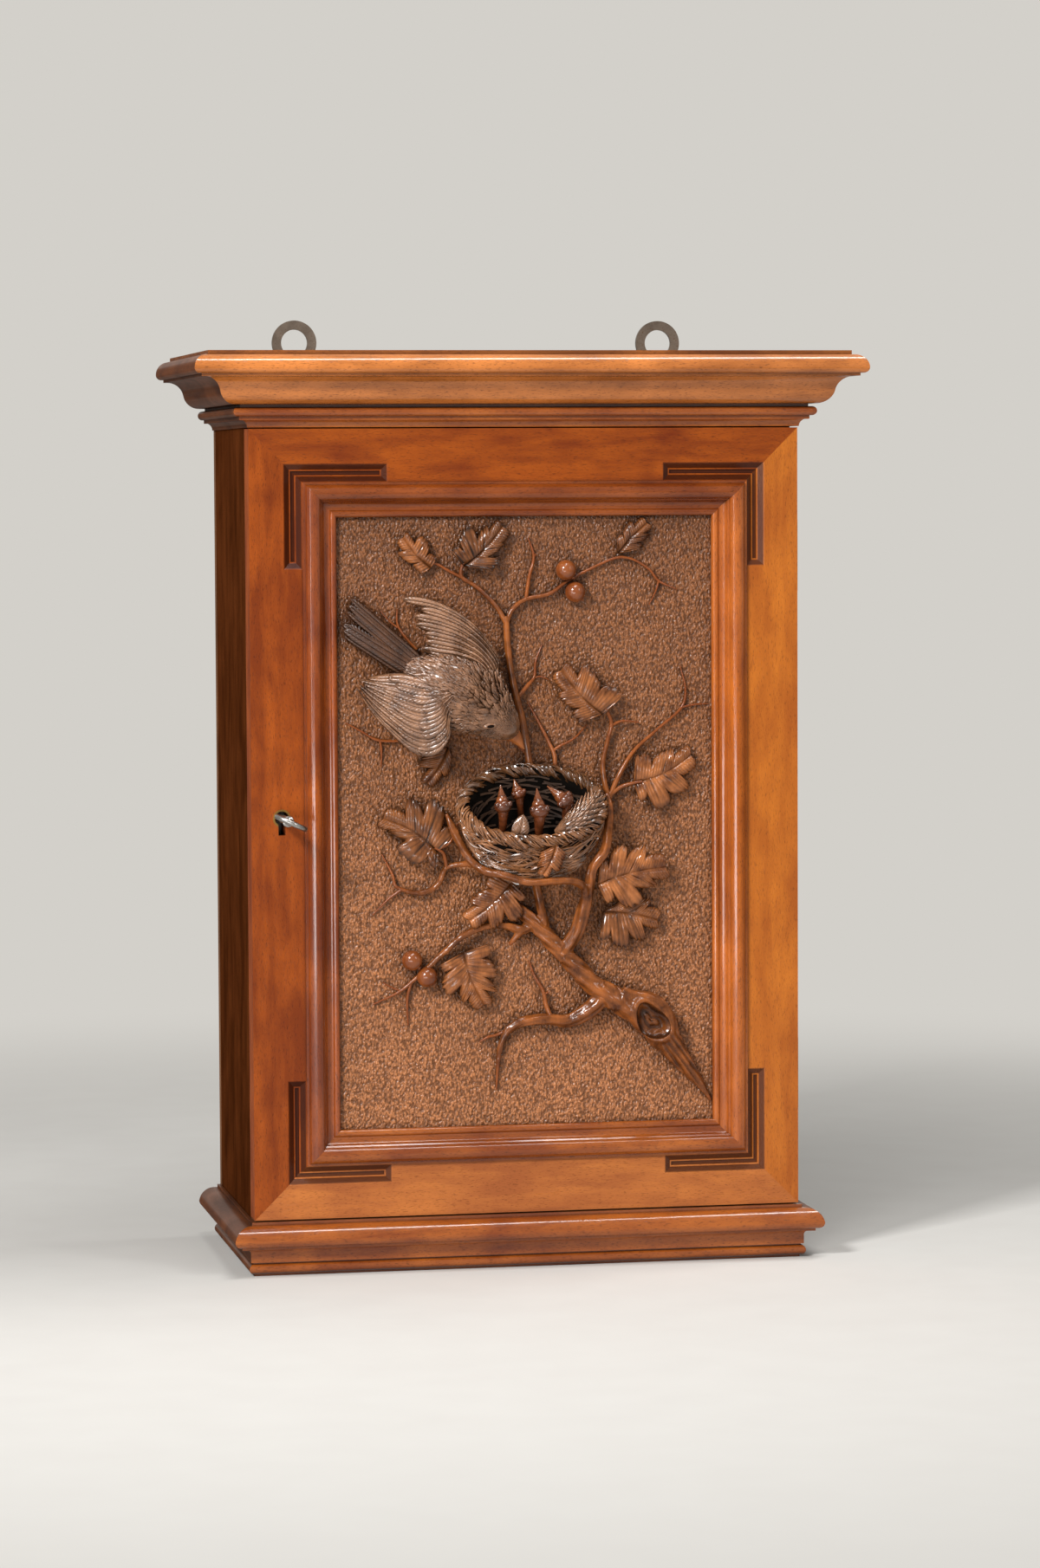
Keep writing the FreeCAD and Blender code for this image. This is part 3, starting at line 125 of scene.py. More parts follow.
def polishedWood(name, grain, light, dark, pore, roughness=0.28, coat=0.15, shine=0.26, sunk=None):
    # French-polished walnut: fine dark pores, a slow cloudy figure along the grain, and a soft clear gloss
    sizes = woodSizes
    finish, tree, surface = newFinish(name, IOR=1.5, Coat_Weight=coat, Coat_Roughness=0.08, Coat_IOR=1.5,
                                      Specular_IOR_Level=shine)
    coords = addNode(tree, "TexCoord")
    place = coords.outputs["Object"]
    facing = addNode(tree, "SeparateXYZ", {"Vector": coords.outputs["Normal"]})
    noises = []
    for kind, detail in (("figure", 8.0), ("cloud", 2.0), ("pore", 1.0)):
        scale = [1 / (sizes[kind + "Across"] * mm)] * 3
        scale["XYZ".index(grain)] = 1 / (sizes[kind + "Along"] * mm)
        along = addNode(tree, "Mapping", {"Vector": place, "Scale": scale})
        noises.append(addNode(tree, "TexNoise", {
            "Vector": along, "Scale": 1.0, "Detail": detail, "Roughness": 0.68, "Distortion": 0.4}))
    figure, cloud, pores = noises
    mixed = addNode(tree, "Math", {0: figure, 1: cloud}, operation="ADD")
    shade = addNode(tree, "MapRange", {"Value": mixed, "From": (0.80, 1.22)})
    tone = addNode(tree, "Mix", {mixBy: shade, mixFrom: tint(dark), mixTo: tint(light)}, data_type="RGBA")
    pit = addNode(tree, "MapRange", {"Value": pores, "From": (0.57, 0.70), "To": (0.0, 0.5)})
    colour = addNode(tree, "Mix", {mixBy: pit, mixFrom: tone, mixTo: tint(pore)}, data_type="RGBA")
    if sunk:  # painted shade: the corner channels are darkened, all but a strip on their floor left light as a painted highlight
        split = addNode(tree, "SeparateXYZ", {"Vector": place})
        bands = []
        for start, stop, ends in ((sizes["sunkFrom"], sizes["sunkTo"], (0.0, 0.85)),
                                  (sizes["rimFrom"], sizes["rimFrom"] + sizes["rimFade"], (0.0, 0.8)),
                                  (sizes["rimTo"], sizes["rimTo"] + sizes["rimFade"], (1.0, 0.0))):
            depths = (doorFace + start * mm, doorFace + stop * mm)
            bands.append(addNode(tree, "MapRange", {"Value": split.outputs["Y"], "From": depths, "To": ends}))
        rim = addNode(tree, "Math", {0: bands[1], 1: bands[2]}, operation="MULTIPLY")
        deep = addNode(tree, "Math", {0: bands[0], 1: rim}, operation="SUBTRACT", use_clamp=True)
        front = addNode(tree, "MapRange", {"Value": facing.outputs["Y"], "From": (-0.3, -0.6)})
        share = addNode(tree, "Math", {0: deep, 1: front}, operation="MULTIPLY")
        colour = addNode(tree, "Mix", {mixBy: share, mixFrom: colour, mixTo: tint(sunk)}, data_type="RGBA")
    # painted shade: corners and quirks that ambient occlusion finds are darkened towards the pore colour
    corner = addNode(tree, "AmbientOcclusion", {"Distance": sizes["shadeReach"] * mm}, samples=6)
    waxed = addNode(tree, "MapRange", {"Value": corner.outputs["AO"], "From": (0.3, 0.8), "To": (0.8, 0.0)})
    colour = addNode(tree, "Mix", {mixBy: waxed, mixFrom: colour, mixTo: tint(pore)}, data_type="RGBA")
    gloss = addNode(tree, "MapRange", {
        "Value": mixed, "From": (0.7, 1.3), "To": (roughness + 0.06, roughness - 0.05)})
    turned = addNode(tree, "Math", {0: facing.outputs["X"]}, operation="ABSOLUTE")
    # faces turned sideways are waxed, not polished
    dull = addNode(tree, "MapRange", {"Value": turned, "From": (0.85, 0.97), "To": (0.0, 0.45)})
    rough = addNode(tree, "Math", {0: gloss, 1: dull}, operation="ADD")
    dent = addNode(tree, "Math", {0: pit, 1: -1.0}, operation="MULTIPLY")
    bump = addNode(tree, "Bump", {"Strength": 0.35, "Distance": sizes["poreDeep"] * mm, "Height": dent})
    wire(tree, surface, {"Base Color": colour, "Roughness": rough, "Normal": bump})
    return finish


groundSizes = {  # mm
    "pebble": 1.35, "grit": 1.5, "deep": 0.95, "wander": 3.0, "wanderReach": 1.4, "cloud": 60, "shadeReach": 10,
    # fade: the heights in mm between which the ground is painted lighter towards its foot
    "fade": (460, 80), "planed": (9, 9, 60),
    "stretch": 0.62,  # a share: the marks stand taller than they are wide
}


def punchedGround(sizes):
    # carved ground struck all over with a blunt punch: pebbled bumps that each catch a small light
    finish, tree, surface = newFinish("punched walnut ground", IOR=1.5, Specular_IOR_Level=0.26)
    coords = addNode(tree, "TexCoord")
    place = coords.outputs["Object"]
    facing = addNode(tree, "SeparateXYZ", {"Vector": coords.outputs["Normal"]})
    front = addNode(tree, "MapRange", {"Value": facing.outputs["Y"], "From": (-0.2, -0.5)})
    wander, grit, cloud = [addNode(tree, "TexNoise", {
        "Vector": place, "Scale": 1 / (sizes[kind] * mm), "Detail": detail})
        for kind, detail in (("wander", 1.0), ("grit", 1.0), ("cloud", 3.0))]
    upright = addNode(tree, "Mapping", {"Vector": place, "Scale": (1, 1, sizes["stretch"])})
    moved = addNode(tree, "Mix", {
        mixBy: sizes["wanderReach"] * mm, vectorFrom: upright, vectorTo: wander.outputs["Color"]},
        data_type="VECTOR")
    pebble = addNode(tree, "TexVoronoi", {
        "Vector": moved, "Scale": 1 / (sizes["pebble"] * mm), "Smoothness": 0.35}, feature="SMOOTH_F1")
    height = addNode(tree, "Math", {0: pebble, 1: -1.0, 2: grit}, operation="MULTIPLY_ADD")
    level = addNode(tree, "SeparateXYZ", {"Vector": place})
    # painted light: the ground is coloured darker under the cornice and lighter towards its foot, where more
    # light falls
    lighterBelow = addNode(tree, "MapRange", {
        "Value": level.outputs["Z"], "From": [n * mm for n in sizes["fade"]], "To": (-0.05, 0.6)})
    toneAndLight = addNode(tree, "Math", {0: cloud, 1: 0.5, 2: lighterBelow}, operation="MULTIPLY_ADD")
    tone = addNode(tree, "Mix", {
        mixBy: toneAndLight, mixFrom: tint("#6c3f20"), mixTo: tint("#cd8656")}, data_type="RGBA")
    # painted shade: the pits between the punch marks are darkened
    depth = addNode(tree, "MapRange", {"Value": height, "From": (-0.25, 0.45), "To": (0.75, 0.0)})
    colour = addNode(tree, "Mix", {mixBy: depth, mixFrom: tone, mixTo: tint("#351b0d")}, data_type="RGBA")
    # painted shade: beside and under the relief, where ambient occlusion finds it close, the ground is
    # darkened
    corner = addNode(tree, "AmbientOcclusion", {"Distance": sizes["shadeReach"] * mm}, samples=6)
    waxed = addNode(tree, "MapRange", {"Value": corner.outputs["AO"], "From": (0.25, 0.9), "To": (0.8, 0.0)})
    worn = addNode(tree, "Mix", {mixBy: waxed, mixFrom: colour, mixTo: tint("#241007")}, data_type="RGBA")
    along = addNode(tree, "Mapping", {"Vector": place, "Scale": [1 / (n * mm) for n in sizes["planed"]]})
    grain = addNode(tree, "TexNoise", {"Vector": along, "Scale": 1.0, "Detail": 8.0})
    # the back is only planed
    planed = addNode(tree, "Mix", {
        mixBy: grain, mixFrom: tint("#4a2c16"), mixTo: tint("#8a5a34")}, data_type="RGBA")
    both = addNode(tree, "Mix", {mixBy: front, mixFrom: planed, mixTo: worn}, data_type="RGBA")
    gloss = addNode(tree, "MapRange", {"Value": front, "To": (0.5, 0.22)})
    struck = addNode(tree, "Math", {0: height, 1: front}, operation="MULTIPLY")
    bump = addNode(tree, "Bump", {"Strength": 1.0, "Distance": sizes["deep"] * mm, "Height": struck})
    wire(tree, surface, {"Base Color": both, "Roughness": gloss, "Normal": bump})
    return finish


carveSizes = {"cloud": 9, "fibre": (0.7, 0.7, 7), "shadeReach": 3.5, "slim": (0.6, 1.7), "gouge": 0.35}  # mm


def carvedWood(name, light, dark, hollow, roughness=0.34, lines=0.0, warm=None, coat=0.15, shine=0.3):
    # carved walnut under old polish, glossy on its ridges; its hollows and corners are painted dark as shade
    sizes = carveSizes
    finish, tree, surface = newFinish(name, IOR=1.5, Roughness=roughness, Coat_Weight=coat,
                                      Coat_Roughness=0.12, Specular_IOR_Level=shine)
    place = addNode(tree, "TexCoord").outputs["Object"]
    cut = addNode(tree, "Attribute", attribute_name="cut")  # painted shade: 0 on a ridge, 1 in a hollow
    if warm or lines:  # how wide or thick the wood is at a point, how far along, and how deep its lines are
        barb = addNode(tree, "Attribute", attribute_name="barb")
        split = addNode(tree, "SeparateXYZ", {"Vector": barb.outputs["Vector"]})
    cloud = addNode(tree, "TexNoise", {"Vector": place, "Scale": 1 / (sizes["cloud"] * mm), "Detail": 4.0})
    grain = addNode(tree, "Mapping", {"Vector": place, "Scale": [1 / (n * mm) for n in sizes["fibre"]]})
    fibre = addNode(tree, "TexNoise", {"Vector": grain, "Scale": 1.0, "Detail": 2.0})
    streak = addNode(tree, "Math", {0: fibre, 1: 0.22, 2: cloud}, operation="MULTIPLY_ADD")
    shade = addNode(tree, "MapRange", {"Value": streak, "From": (0.42, 0.80)})
    tone = addNode(tree, "Mix", {mixBy: shade, mixFrom: tint(dark), mixTo: tint(light)}, data_type="RGBA")
    if warm:  # slim twig ends are rubbed to a red orange
        red = addNode(tree, "MapRange", {
            "Value": split.outputs["X"], "From": [n * mm for n in sizes["slim"]], "To": (0.75, 0.0)})
        tone = addNode(tree, "Mix", {mixBy: red, mixFrom: tone, mixTo: tint(warm)}, data_type="RGBA")
    # painted shade: corners that ambient occlusion finds are darkened like the hollows
    corner = addNode(tree, "AmbientOcclusion", {"Distance": sizes["shadeReach"] * mm}, samples=6)
    waxed = addNode(tree, "MapRange", {"Value": corner.outputs["AO"], "From": (0.2, 0.85), "To": (0.75, 0.0)})
    shadeShare = addNode(tree, "Math", {0: cut.outputs["Fac"], 1: waxed}, operation="MAXIMUM")
    colour = addNode(tree, "Mix", {mixBy: shadeShare, mixFrom: tone, mixTo: tint(hollow)}, data_type="RGBA")
    height = addNode(tree, "Math", {0: fibre, 1: 0.35}, operation="MULTIPLY")
    if lines:  # fine gouge lines across each feather
        side = addNode(tree, "Math", {0: split.outputs["X"]}, operation="ABSOLUTE")
        slope = addNode(tree, "Math", {0: side, 1: -1.3, 2: split.outputs["Y"]}, operation="MULTIPLY_ADD")
        turn = addNode(tree, "Math", {0: slope, 1: 2 * math.pi / lines}, operation="MULTIPLY")
        ridge = addNode(tree, "Math", {0: turn}, operation="SINE")
        height = addNode(tree, "Math", {0: ridge, 1: split.outputs["Z"], 2: height},
                         operation="MULTIPLY_ADD")
    bump = addNode(tree, "Bump", {"Strength": 0.45, "Distance": sizes["gouge"] * mm, "Height": height})
    wire(tree, surface, {"Base Color": colour, "Normal": bump})
    return finish


metalSizes = {"cloud": 9, "speck": 1.1, "dent": 0.2}  # mm


def oldMetal(name, bright, dull, rust, roughness):
    # handled metal: a rubbed sheen with duller patches and specks of tarnish
    sizes = metalSizes
    finish, tree, surface = newFinish(name, Metallic=1.0)
    place = addNode(tree, "TexCoord").outputs["Object"]
    cloud = addNode(tree, "TexNoise", {
        "Vector": place, "Scale": 1 / (sizes["cloud"] * mm), "Detail": 5.0, "Roughness": 0.6})
    speck = addNode(tree, "TexNoise", {"Vector": place, "Scale": 1 / (sizes["speck"] * mm), "Detail": 3.0})
    shade = addNode(tree, "MapRange", {"Value": cloud, "From": (0.25, 0.75)})
    tone = addNode(tree, "Mix", {mixBy: shade, mixFrom: tint(dull), mixTo: tint(bright)}, data_type="RGBA")
    spot = addNode(tree, "MapRange", {"Value": speck, "From": (0.58, 0.72), "To": (0.0, 0.7)})
    colour = addNode(tree, "Mix", {mixBy: spot, mixFrom: tone, mixTo: tint(rust)}, data_type="RGBA")
    gloss = addNode(tree, "MapRange", {
        "Value": speck, "From": (0.3, 0.8), "To": (roughness, roughness + 0.22)})
    bump = addNode(tree, "Bump", {"Strength": 0.3, "Distance": sizes["dent"] * mm, "Height": cloud})
    wire(tree, surface, {"Base Color": colour, "Roughness": gloss, "Normal": bump})
    return finish


redUpright = polishedWood("red walnut stile", "Z", "#964818", "#6e2f10", "#3c1608", coat=0.0, shine=0.12,
                          sunk="#2a0e06")
redLevel = polishedWood("red walnut rail", "X", "#964814", "#6a2a0d", "#3c1608", coat=0.05, shine=0.16,
                        sunk="#2a0e06")
goldUpright = polishedWood("golden walnut stile", "Z", "#b96924", "#9b511b", "#5c2a0d", coat=0.05, shine=0.2,
                           sunk="#38160a")
goldLevel = polishedWood("golden walnut rail", "X", "#b86d34", "#98542a", "#5c2a0d", coat=0.05, shine=0.2,
                         sunk="#38160a")
# the sides are coloured darker than the front: partly a darker board, partly painted shade for faces turned
# from the light
sideWood = polishedWood("brown walnut side, waxed", "Z", "#5a2e14", "#3e1d0a", "#1e0d05", 0.60, 0.0, 0.0)
mouldLevel = polishedWood("moulded walnut, grain across", "X", "#a2571f", "#783711", "#2e1005", 0.16, 0.5)
corniceWood = polishedWood("cornice walnut, grain across", "X", "#c07234", "#965420", "#2e1005", 0.16, 0.6)
# painted shade: the top and left panel mouldings take darker copies of the moulded walnut, as their slopes
# are turned from the light
shadeLevel = polishedWood("moulded walnut in painted shade, grain across", "X", "#8a4416", "#62290c", "#280d05", 0.16,
                          0.4)
shadeUpright = polishedWood("moulded walnut in painted shade, grain upright", "Z", "#96491a", "#6a2c0e", "#280d05", 0.16,
                            0.5)
mouldUpright = polishedWood("moulded walnut, grain upright", "Z", "#b96322", "#8c4314", "#2e1005", 0.16, 0.5)
# the returns are coloured darker than the fronts, partly as painted shade for faces turned from the light
mouldReturn = polishedWood("moulded walnut, grain to the wall", "Y", "#6a3816", "#45220d", "#220f06", 0.40,
                           0.03, 0.1)
lidWood = polishedWood("walnut lid, dulled polish", "X", "#8f5426", "#693816", "#33160a", 0.42, 0.05, 0.2)
insideLevel = polishedWood("plain walnut board", "X", "#a06c42", "#7f5230", "#4a2c17", 0.45, 0.05)
insideUpright = polishedWood("plain walnut back board", "Z", "#7c5230", "#5c3a20", "#382010", 0.5, 0.0)
groundWood = punchedGround(groundSizes)
branchWood = carvedWood("carved walnut branch", "#9c5828", "#4e270e", "#1a0a04", 0.18, warm="#7c3b15",
                        coat=0.12, shine=0.26)
leafWood = carvedWood("carved walnut leaf", "#b26d3d", "#5c3117", "#160903", 0.18, coat=0.16, shine=0.26)
featherWood = carvedWood("carved walnut feathers, stained grey", "#94694c", "#523420", "#180c06", 0.15,
                         lines=2.3, coat=0.45, shine=0.4)
tailWood = carvedWood("carved walnut tail, dark stain", "#52321d", "#321c0f", "#140904", 0.2, lines=2.3,
                      coat=0.2)
beakWood = carvedWood("carved walnut beak", "#a8622f", "#7c4320", "#3a2012", 0.28)
nestWood = carvedWood("carved walnut strands, dark stain", "#a06a42", "#4c2e19", "#150a05", 0.15, coat=0.6,
                      shine=0.5)
# painted shade: the strands inside the nest take this darker finish
nestShade = carvedWood("strands inside the nest, smoked", "#3c281a", "#26170e", "#0f0805", 0.5, coat=0.0)
# near black standing for shade: the nest's hollow, the bird's eye and the nestlings' pupils
nestHollow = carvedWood("nest hollow and eyes, near black as painted shade", "#1c110b", "#120a06", "#080503", 0.8, coat=0.0, shine=0.05)
chickWood = carvedWood("nestling, red polish", "#6e381d", "#42200f", "#1a0904", 0.16, coat=0.6)
billWood = carvedWood("nestling beak, rubbed polish", "#824723", "#552a13", "#1a0904", 0.16, coat=0.5)
berryWood = carvedWood("turned berry, red polish", "#8a4a22", "#642f12", "#2c1007", 0.15, coat=0.4)
blackIron = oldMetal("blacked wrought iron", "#857a6e", "#5d544b", "#5a3f2c", 0.42)
oldBrass = oldMetal("old brass", "#a58145", "#7c5c30", "#4f3a1e", 0.3)
keySteel = oldMetal("worn key steel", "#b4b2af", "#7f7b77", "#5a4a3e", 0.2)
lockSteel = oldMetal("browned lock steel", "#7c7670", "#5a544e", "#4a382a", 0.34)
print("finishes made")


def dress(finish, *names):
    for name in names:
        for slot in nodes[name].material_slots:
            slot.material = finish
        if not nodes[name].material_slots:
            nodes[name].data.materials.append(finish)


dress(redUpright, "door_stile_lock")
dress(redLevel, "door_rail_top")
dress(goldUpright, "door_stile_hinge")
dress(goldLevel, "door_rail_bottom")
dress(sideWood, "side_left", "side_right")
dress(corniceWood, "cornice_front")
dress(mouldLevel, "neck_front", "plinth_front", "foot_bead_front", "panel_moulding_bottom")
dress(shadeLevel, "panel_moulding_top")
dress(shadeUpright, "panel_moulding_left")
dress(mouldUpright, "panel_moulding_right")
dress(mouldReturn, "cornice_left", "cornice_right", "neck_left", "neck_right", "plinth_left", "plinth_right",
      "foot_bead_left", "foot_bead_right")
dress(insideLevel, "case_top", "case_bottom", "base_board", "shelf_lower", "shelf_upper")
dress(lidWood, "cornice_lid")
dress(insideUpright, "back_panel", "panel_retaining_beads")
dress(groundWood, "door_panel")
dress(blackIron, "hanging_plate_left", "hanging_plate_right", "hanging_plate_screws", "back_panel_screws")
dress(oldBrass, "keyhole_bush", "strike_plate", "strike_screws", "hinge_case_screws", "hinge_door_screws",
      *[f"hinge_{level}_{part}" for level in ("lower", "upper")
        for part in ("case_leaf", "door_leaf", "pin")])
dress(lockSteel, "lock_case", "lock_cover", "lock_screws", "lock_bolt")


# shapes

underGround = -0.8  # mm, how far a round skin may reach behind the ground


def onPanel(points):
    # relief points are (across, up, out from the ground) in mm
    p = np.asarray(points, float)
    return np.column_stack([panelX + p[:, 0] * mm, groundY - p[:, 2] * mm, panelZ + p[:, 1] * mm])


def offPanel(points):
    return np.column_stack([points[:, 0] - panelX, points[:, 2] - panelZ, groundY - points[:, 1]]) / mm


def circle(count):
    return np.linspace(0, 2 * math.pi, count, endpoint=False)


def smoothPath(points, count):
    # an even run of points on a smooth line through the given ones
    p = np.array(points, float)
    wide = np.vstack([2 * p[0] - p[1], p, 2 * p[-1] - p[-2]])
    spans = np.linalg.norm(np.diff(p[:, :3], axis=0), axis=1)
    marks = np.concatenate([[0], np.cumsum(spans)])
    at = np.linspace(0, marks[-1], count)
    k = np.clip(np.searchsorted(marks, at, side="right") - 1, 0, len(spans) - 1)
    t = ((at - marks[k]) / spans[k])[:, None]
    a, b, c, e = wide[k], wide[k + 1], wide[k + 2], wide[k + 3]
    return 0.5 * (2 * b + (c - a) * t + (2 * a - 5 * b + 4 * c - e) * t ** 2
                  + (3 * b - a - 3 * c + e) * t ** 3)


def runLength(points):
    # how far along its line each point lies
    return np.concatenate([[0], np.cumsum(np.linalg.norm(np.diff(points[:, :3], axis=0), axis=1))])


def unit(v):
    return v / np.maximum(np.linalg.norm(v, axis=-1, keepdims=True), 1e-9)


def loft(rings, barb=None, cut=None):
    # skins a run of rings and closes both ends
    rings = np.asarray(rings, float)
    n, m = rings.shape[:2]
    verts = np.vstack([rings.reshape(-1, 3), rings[0].mean(0), rings[-1].mean(0)])
    i, j = np.meshgrid(np.arange(n - 1), np.arange(m), indexing="ij")
    a, b = i * m + j, i * m + (j + 1) % m
    faces = np.stack([a, b, b + m, a + m], -1).reshape(-1, 4).tolist()
    faces += [[n * m, (q + 1) % m, q] for q in range(m)]
    faces += [[n * m + 1, (n - 1) * m + q, (n - 1) * m + (q + 1) % m] for q in range(m)]
    barbs = np.zeros((len(verts), 3))
    if barb is not None:
        barbs[:n * m] = np.asarray(barb, float).reshape(-1, 3)
    cuts = np.zeros(len(verts))
    if cut is not None:
        cuts[:n * m] = np.asarray(cut, float).reshape(-1)
    return verts, faces, barbs, cuts


def tube(path, sides=16, depth=1.0):
    # a round skin on a path of (across, up, out, radius), kept just under the ground at its back
    path = np.asarray(path, float)
    way = unit(np.gradient(path[:, :3], axis=0))
    side = unit(np.cross(way, [0, 0, 1.0]) + [1e-6, 0, 0])
    lift = np.cross(side, way)
    turn = circle(sides)
    rings = (path[:, None, :3] + path[:, None, 3:4] * (np.cos(turn)[None, :, None] * side[:, None]
             + depth * np.sin(turn)[None, :, None] * lift[:, None]))
    rings[..., 2] = np.maximum(rings[..., 2], underGround)
    return loft(rings)


def ball(middle, axes, halves, dark=0.0, rows=13, around=20, end=1.5):
    # a rounded shape on three axes, whose poles lie on the second
    turn = circle(around)
    rings = [middle + np.outer(math.cos(t) * np.cos(turn) * halves[0], axes[0])
             + math.sin(t) * halves[1] * axes[1] + np.outer(math.cos(t) * np.sin(turn) * halves[2], axes[2])
             for t in np.linspace(-end, end, rows)]
    return loft(rings, cut=[[dark] * around] * rows)


def mark(mesh, name, values):
    # a value or a vector on every point
    kind, field = ("FLOAT_VECTOR", "vector") if values.ndim == 2 else ("FLOAT", "value")
    mesh.attributes.new(name, kind, "POINT").data.foreach_set(field, values.ravel())


def readMark(mesh, name, wide=1):
    values = np.zeros(len(mesh.vertices) * wide)
    if name in mesh.attributes:
        mesh.attributes[name].data.foreach_get("vector" if wide == 3 else "value", values)
    return values.reshape(-1, wide) if wide > 1 else values


def makePiece(name, skins, finish, sharp=50, relief=True):
    # several skins with their own finishes become one plain mesh
    verts, faces, barbs, cuts, marks, finishes = [], [], [], [], [], []
    for skin in skins:
        points, polys, barb, cut = skin[:4]
        paint = skin[4] if len(skin) > 4 else finish
        if paint not in finishes:
            finishes.append(paint)
        start = sum(len(v) for v in verts)
        faces += [[start + q for q in poly] for poly in polys]
        marks += [finishes.index(paint)] * len(polys)
        verts.append(onPanel(points) if relief else points)
        barbs.append(barb)
        cuts.append(cut)
    mesh = bpy.data.meshes.new(name)
    mesh.from_pydata(np.vstack(verts).tolist(), [], faces)
    mark(mesh, "barb", np.vstack(barbs))
    mark(mesh, "cut", np.concatenate(cuts))
    for paint in finishes:
        mesh.materials.append(paint)
    mesh.polygons.foreach_set("material_index", marks)
    work = bmesh.new()
    work.from_mesh(mesh)
    bmesh.ops.recalc_face_normals(work, faces=work.faces)
    work.to_mesh(mesh)
    work.free()
    mesh.polygons.foreach_set("use_smooth", [True] * len(mesh.polygons))
    mesh.set_sharp_from_angle(angle=math.radians(sharp))
    piece = bpy.data.objects.new(name, mesh)
    room.link(piece)
    return piece


def newTree(name, inputs):
    # a geometry tree with its named inputs and its two ends
    tree = bpy.data.node_groups.new(name, "GeometryNodeTree")
    tree.interface.new_socket("Geometry", in_out="INPUT", socket_type="NodeSocketGeometry")
    for label, kind in inputs.items():
        tree.interface.new_socket(label, in_out="INPUT", socket_type="NodeSocket" + kind)
    tree.interface.new_socket("Geometry", in_out="OUTPUT", socket_type="NodeSocketGeometry")
    return tree, tree.nodes.new("NodeGroupInput"), tree.nodes.new("NodeGroupOutput")


def closeTree(tree, shape, start, end):
    # what was grown becomes one real mesh in the given finish
    real = addNode(tree, "GeometryNodeRealizeInstances", {"Geometry": shape})
    paint = addNode(tree, "GeometryNodeSetMaterial", {"Geometry": real, "Material": start.outputs["Finish"]})
    wire(tree, end, {"Geometry": paint})


def settled(piece):
    # the mesh that a piece's modifiers leave; the piece itself goes
    bpy.context.view_layer.update()
    mesh = bpy.data.meshes.new_from_object(piece.evaluated_get(bpy.context.evaluated_depsgraph_get()))
    bpy.data.objects.remove(piece)
    return mesh


def grow(piece, tree, values):
    # runs the tree on the piece and leaves a plain mesh
    room.link(piece)
    way = piece.modifiers.new("grow", "NODES")
    way.node_group = tree
    for socket in tree.interface.items_tree:
        if socket.in_out == "INPUT" and socket.name in values:
            way[socket.identifier] = values[socket.name]
    return settled(piece)


def skinOf(mesh, finish):
    # a grown mesh as a skin, in the relief's own mm
    points = np.empty(len(mesh.vertices) * 3)
    mesh.vertices.foreach_get("co", points)
    barb = readMark(mesh, "barb", 3)
    if "slim" in mesh.attributes:  # a stem keeps its thickness where a feather keeps its width
        barb[:, 0] = readMark(mesh, "slim")
    faces = [list(p.vertices) for p in mesh.polygons]
    return offPanel(points.reshape(-1, 3)), faces, barb, readMark(mesh, "cut"), finish


# tree one: a round, slightly uneven stem along each path, as thick as the path says
stemTree, stemIn, stemOut = newTree("stemTree", {"Sides": "Int", "Bark depth": "Float",
                                                 "Bark size": "Float", "Finish": "Material"})
thick = addNode(stemTree, "GeometryNodeInputRadius")
slimMark = addNode(stemTree, "GeometryNodeStoreNamedAttribute", {
    "Geometry": stemIn.outputs["Geometry"], "Name": "slim", "Value": thick}, domain="POINT")
ringShape = addNode(stemTree, "GeometryNodeCurvePrimitiveCircle", {
    "Resolution": stemIn.outputs["Sides"], "Radius": 1.0})
stemSkin = addNode(stemTree, "GeometryNodeCurveToMesh", {
    "Curve": slimMark, "Profile Curve": ringShape, "Scale": thick, "Fill Caps": True})
barkScale = addNode(stemTree, "Math", {0: 1.0, 1: stemIn.outputs["Bark size"]}, operation="DIVIDE")
barkNoise = addNode(stemTree, "TexNoise", {"Scale": barkScale, "Detail": 2.0})
barkEven = addNode(stemTree, "Math", {0: barkNoise, 1: 0.5}, operation="SUBTRACT")
barkStep = addNode(stemTree, "Math", {0: barkEven, 1: stemIn.outputs["Bark depth"]}, operation="MULTIPLY")
barkOut = addNode(stemTree, "GeometryNodeInputNormal")
barkWay = addNode(stemTree, "VectorMath", {0: barkOut, "Scale": barkStep}, operation="SCALE")
barkMove = addNode(stemTree, "GeometryNodeSetPosition", {"Geometry": stemSkin, "Offset": barkWay})
closeTree(stemTree, barkMove, stemIn, stemOut)


def growStems(name, paths, finish, sides, barkDepth, barkSize):
    curve = bpy.data.curves.new(name, "CURVE")
    curve.dimensions = "3D"
    for path in paths:
        path = np.asarray(path, float)
        run = curve.splines.new("POLY")
        run.points.add(len(path) - 1)
        run.points.foreach_set("co", np.column_stack([onPanel(path), np.ones(len(path))]).ravel())
        run.points.foreach_set("radius", path[:, 3] * mm)
    return grow(bpy.data.objects.new(name, curve), stemTree,
                {"Sides": sides, "Bark depth": barkDepth * mm, "Bark size": barkSize * mm, "Finish": finish})


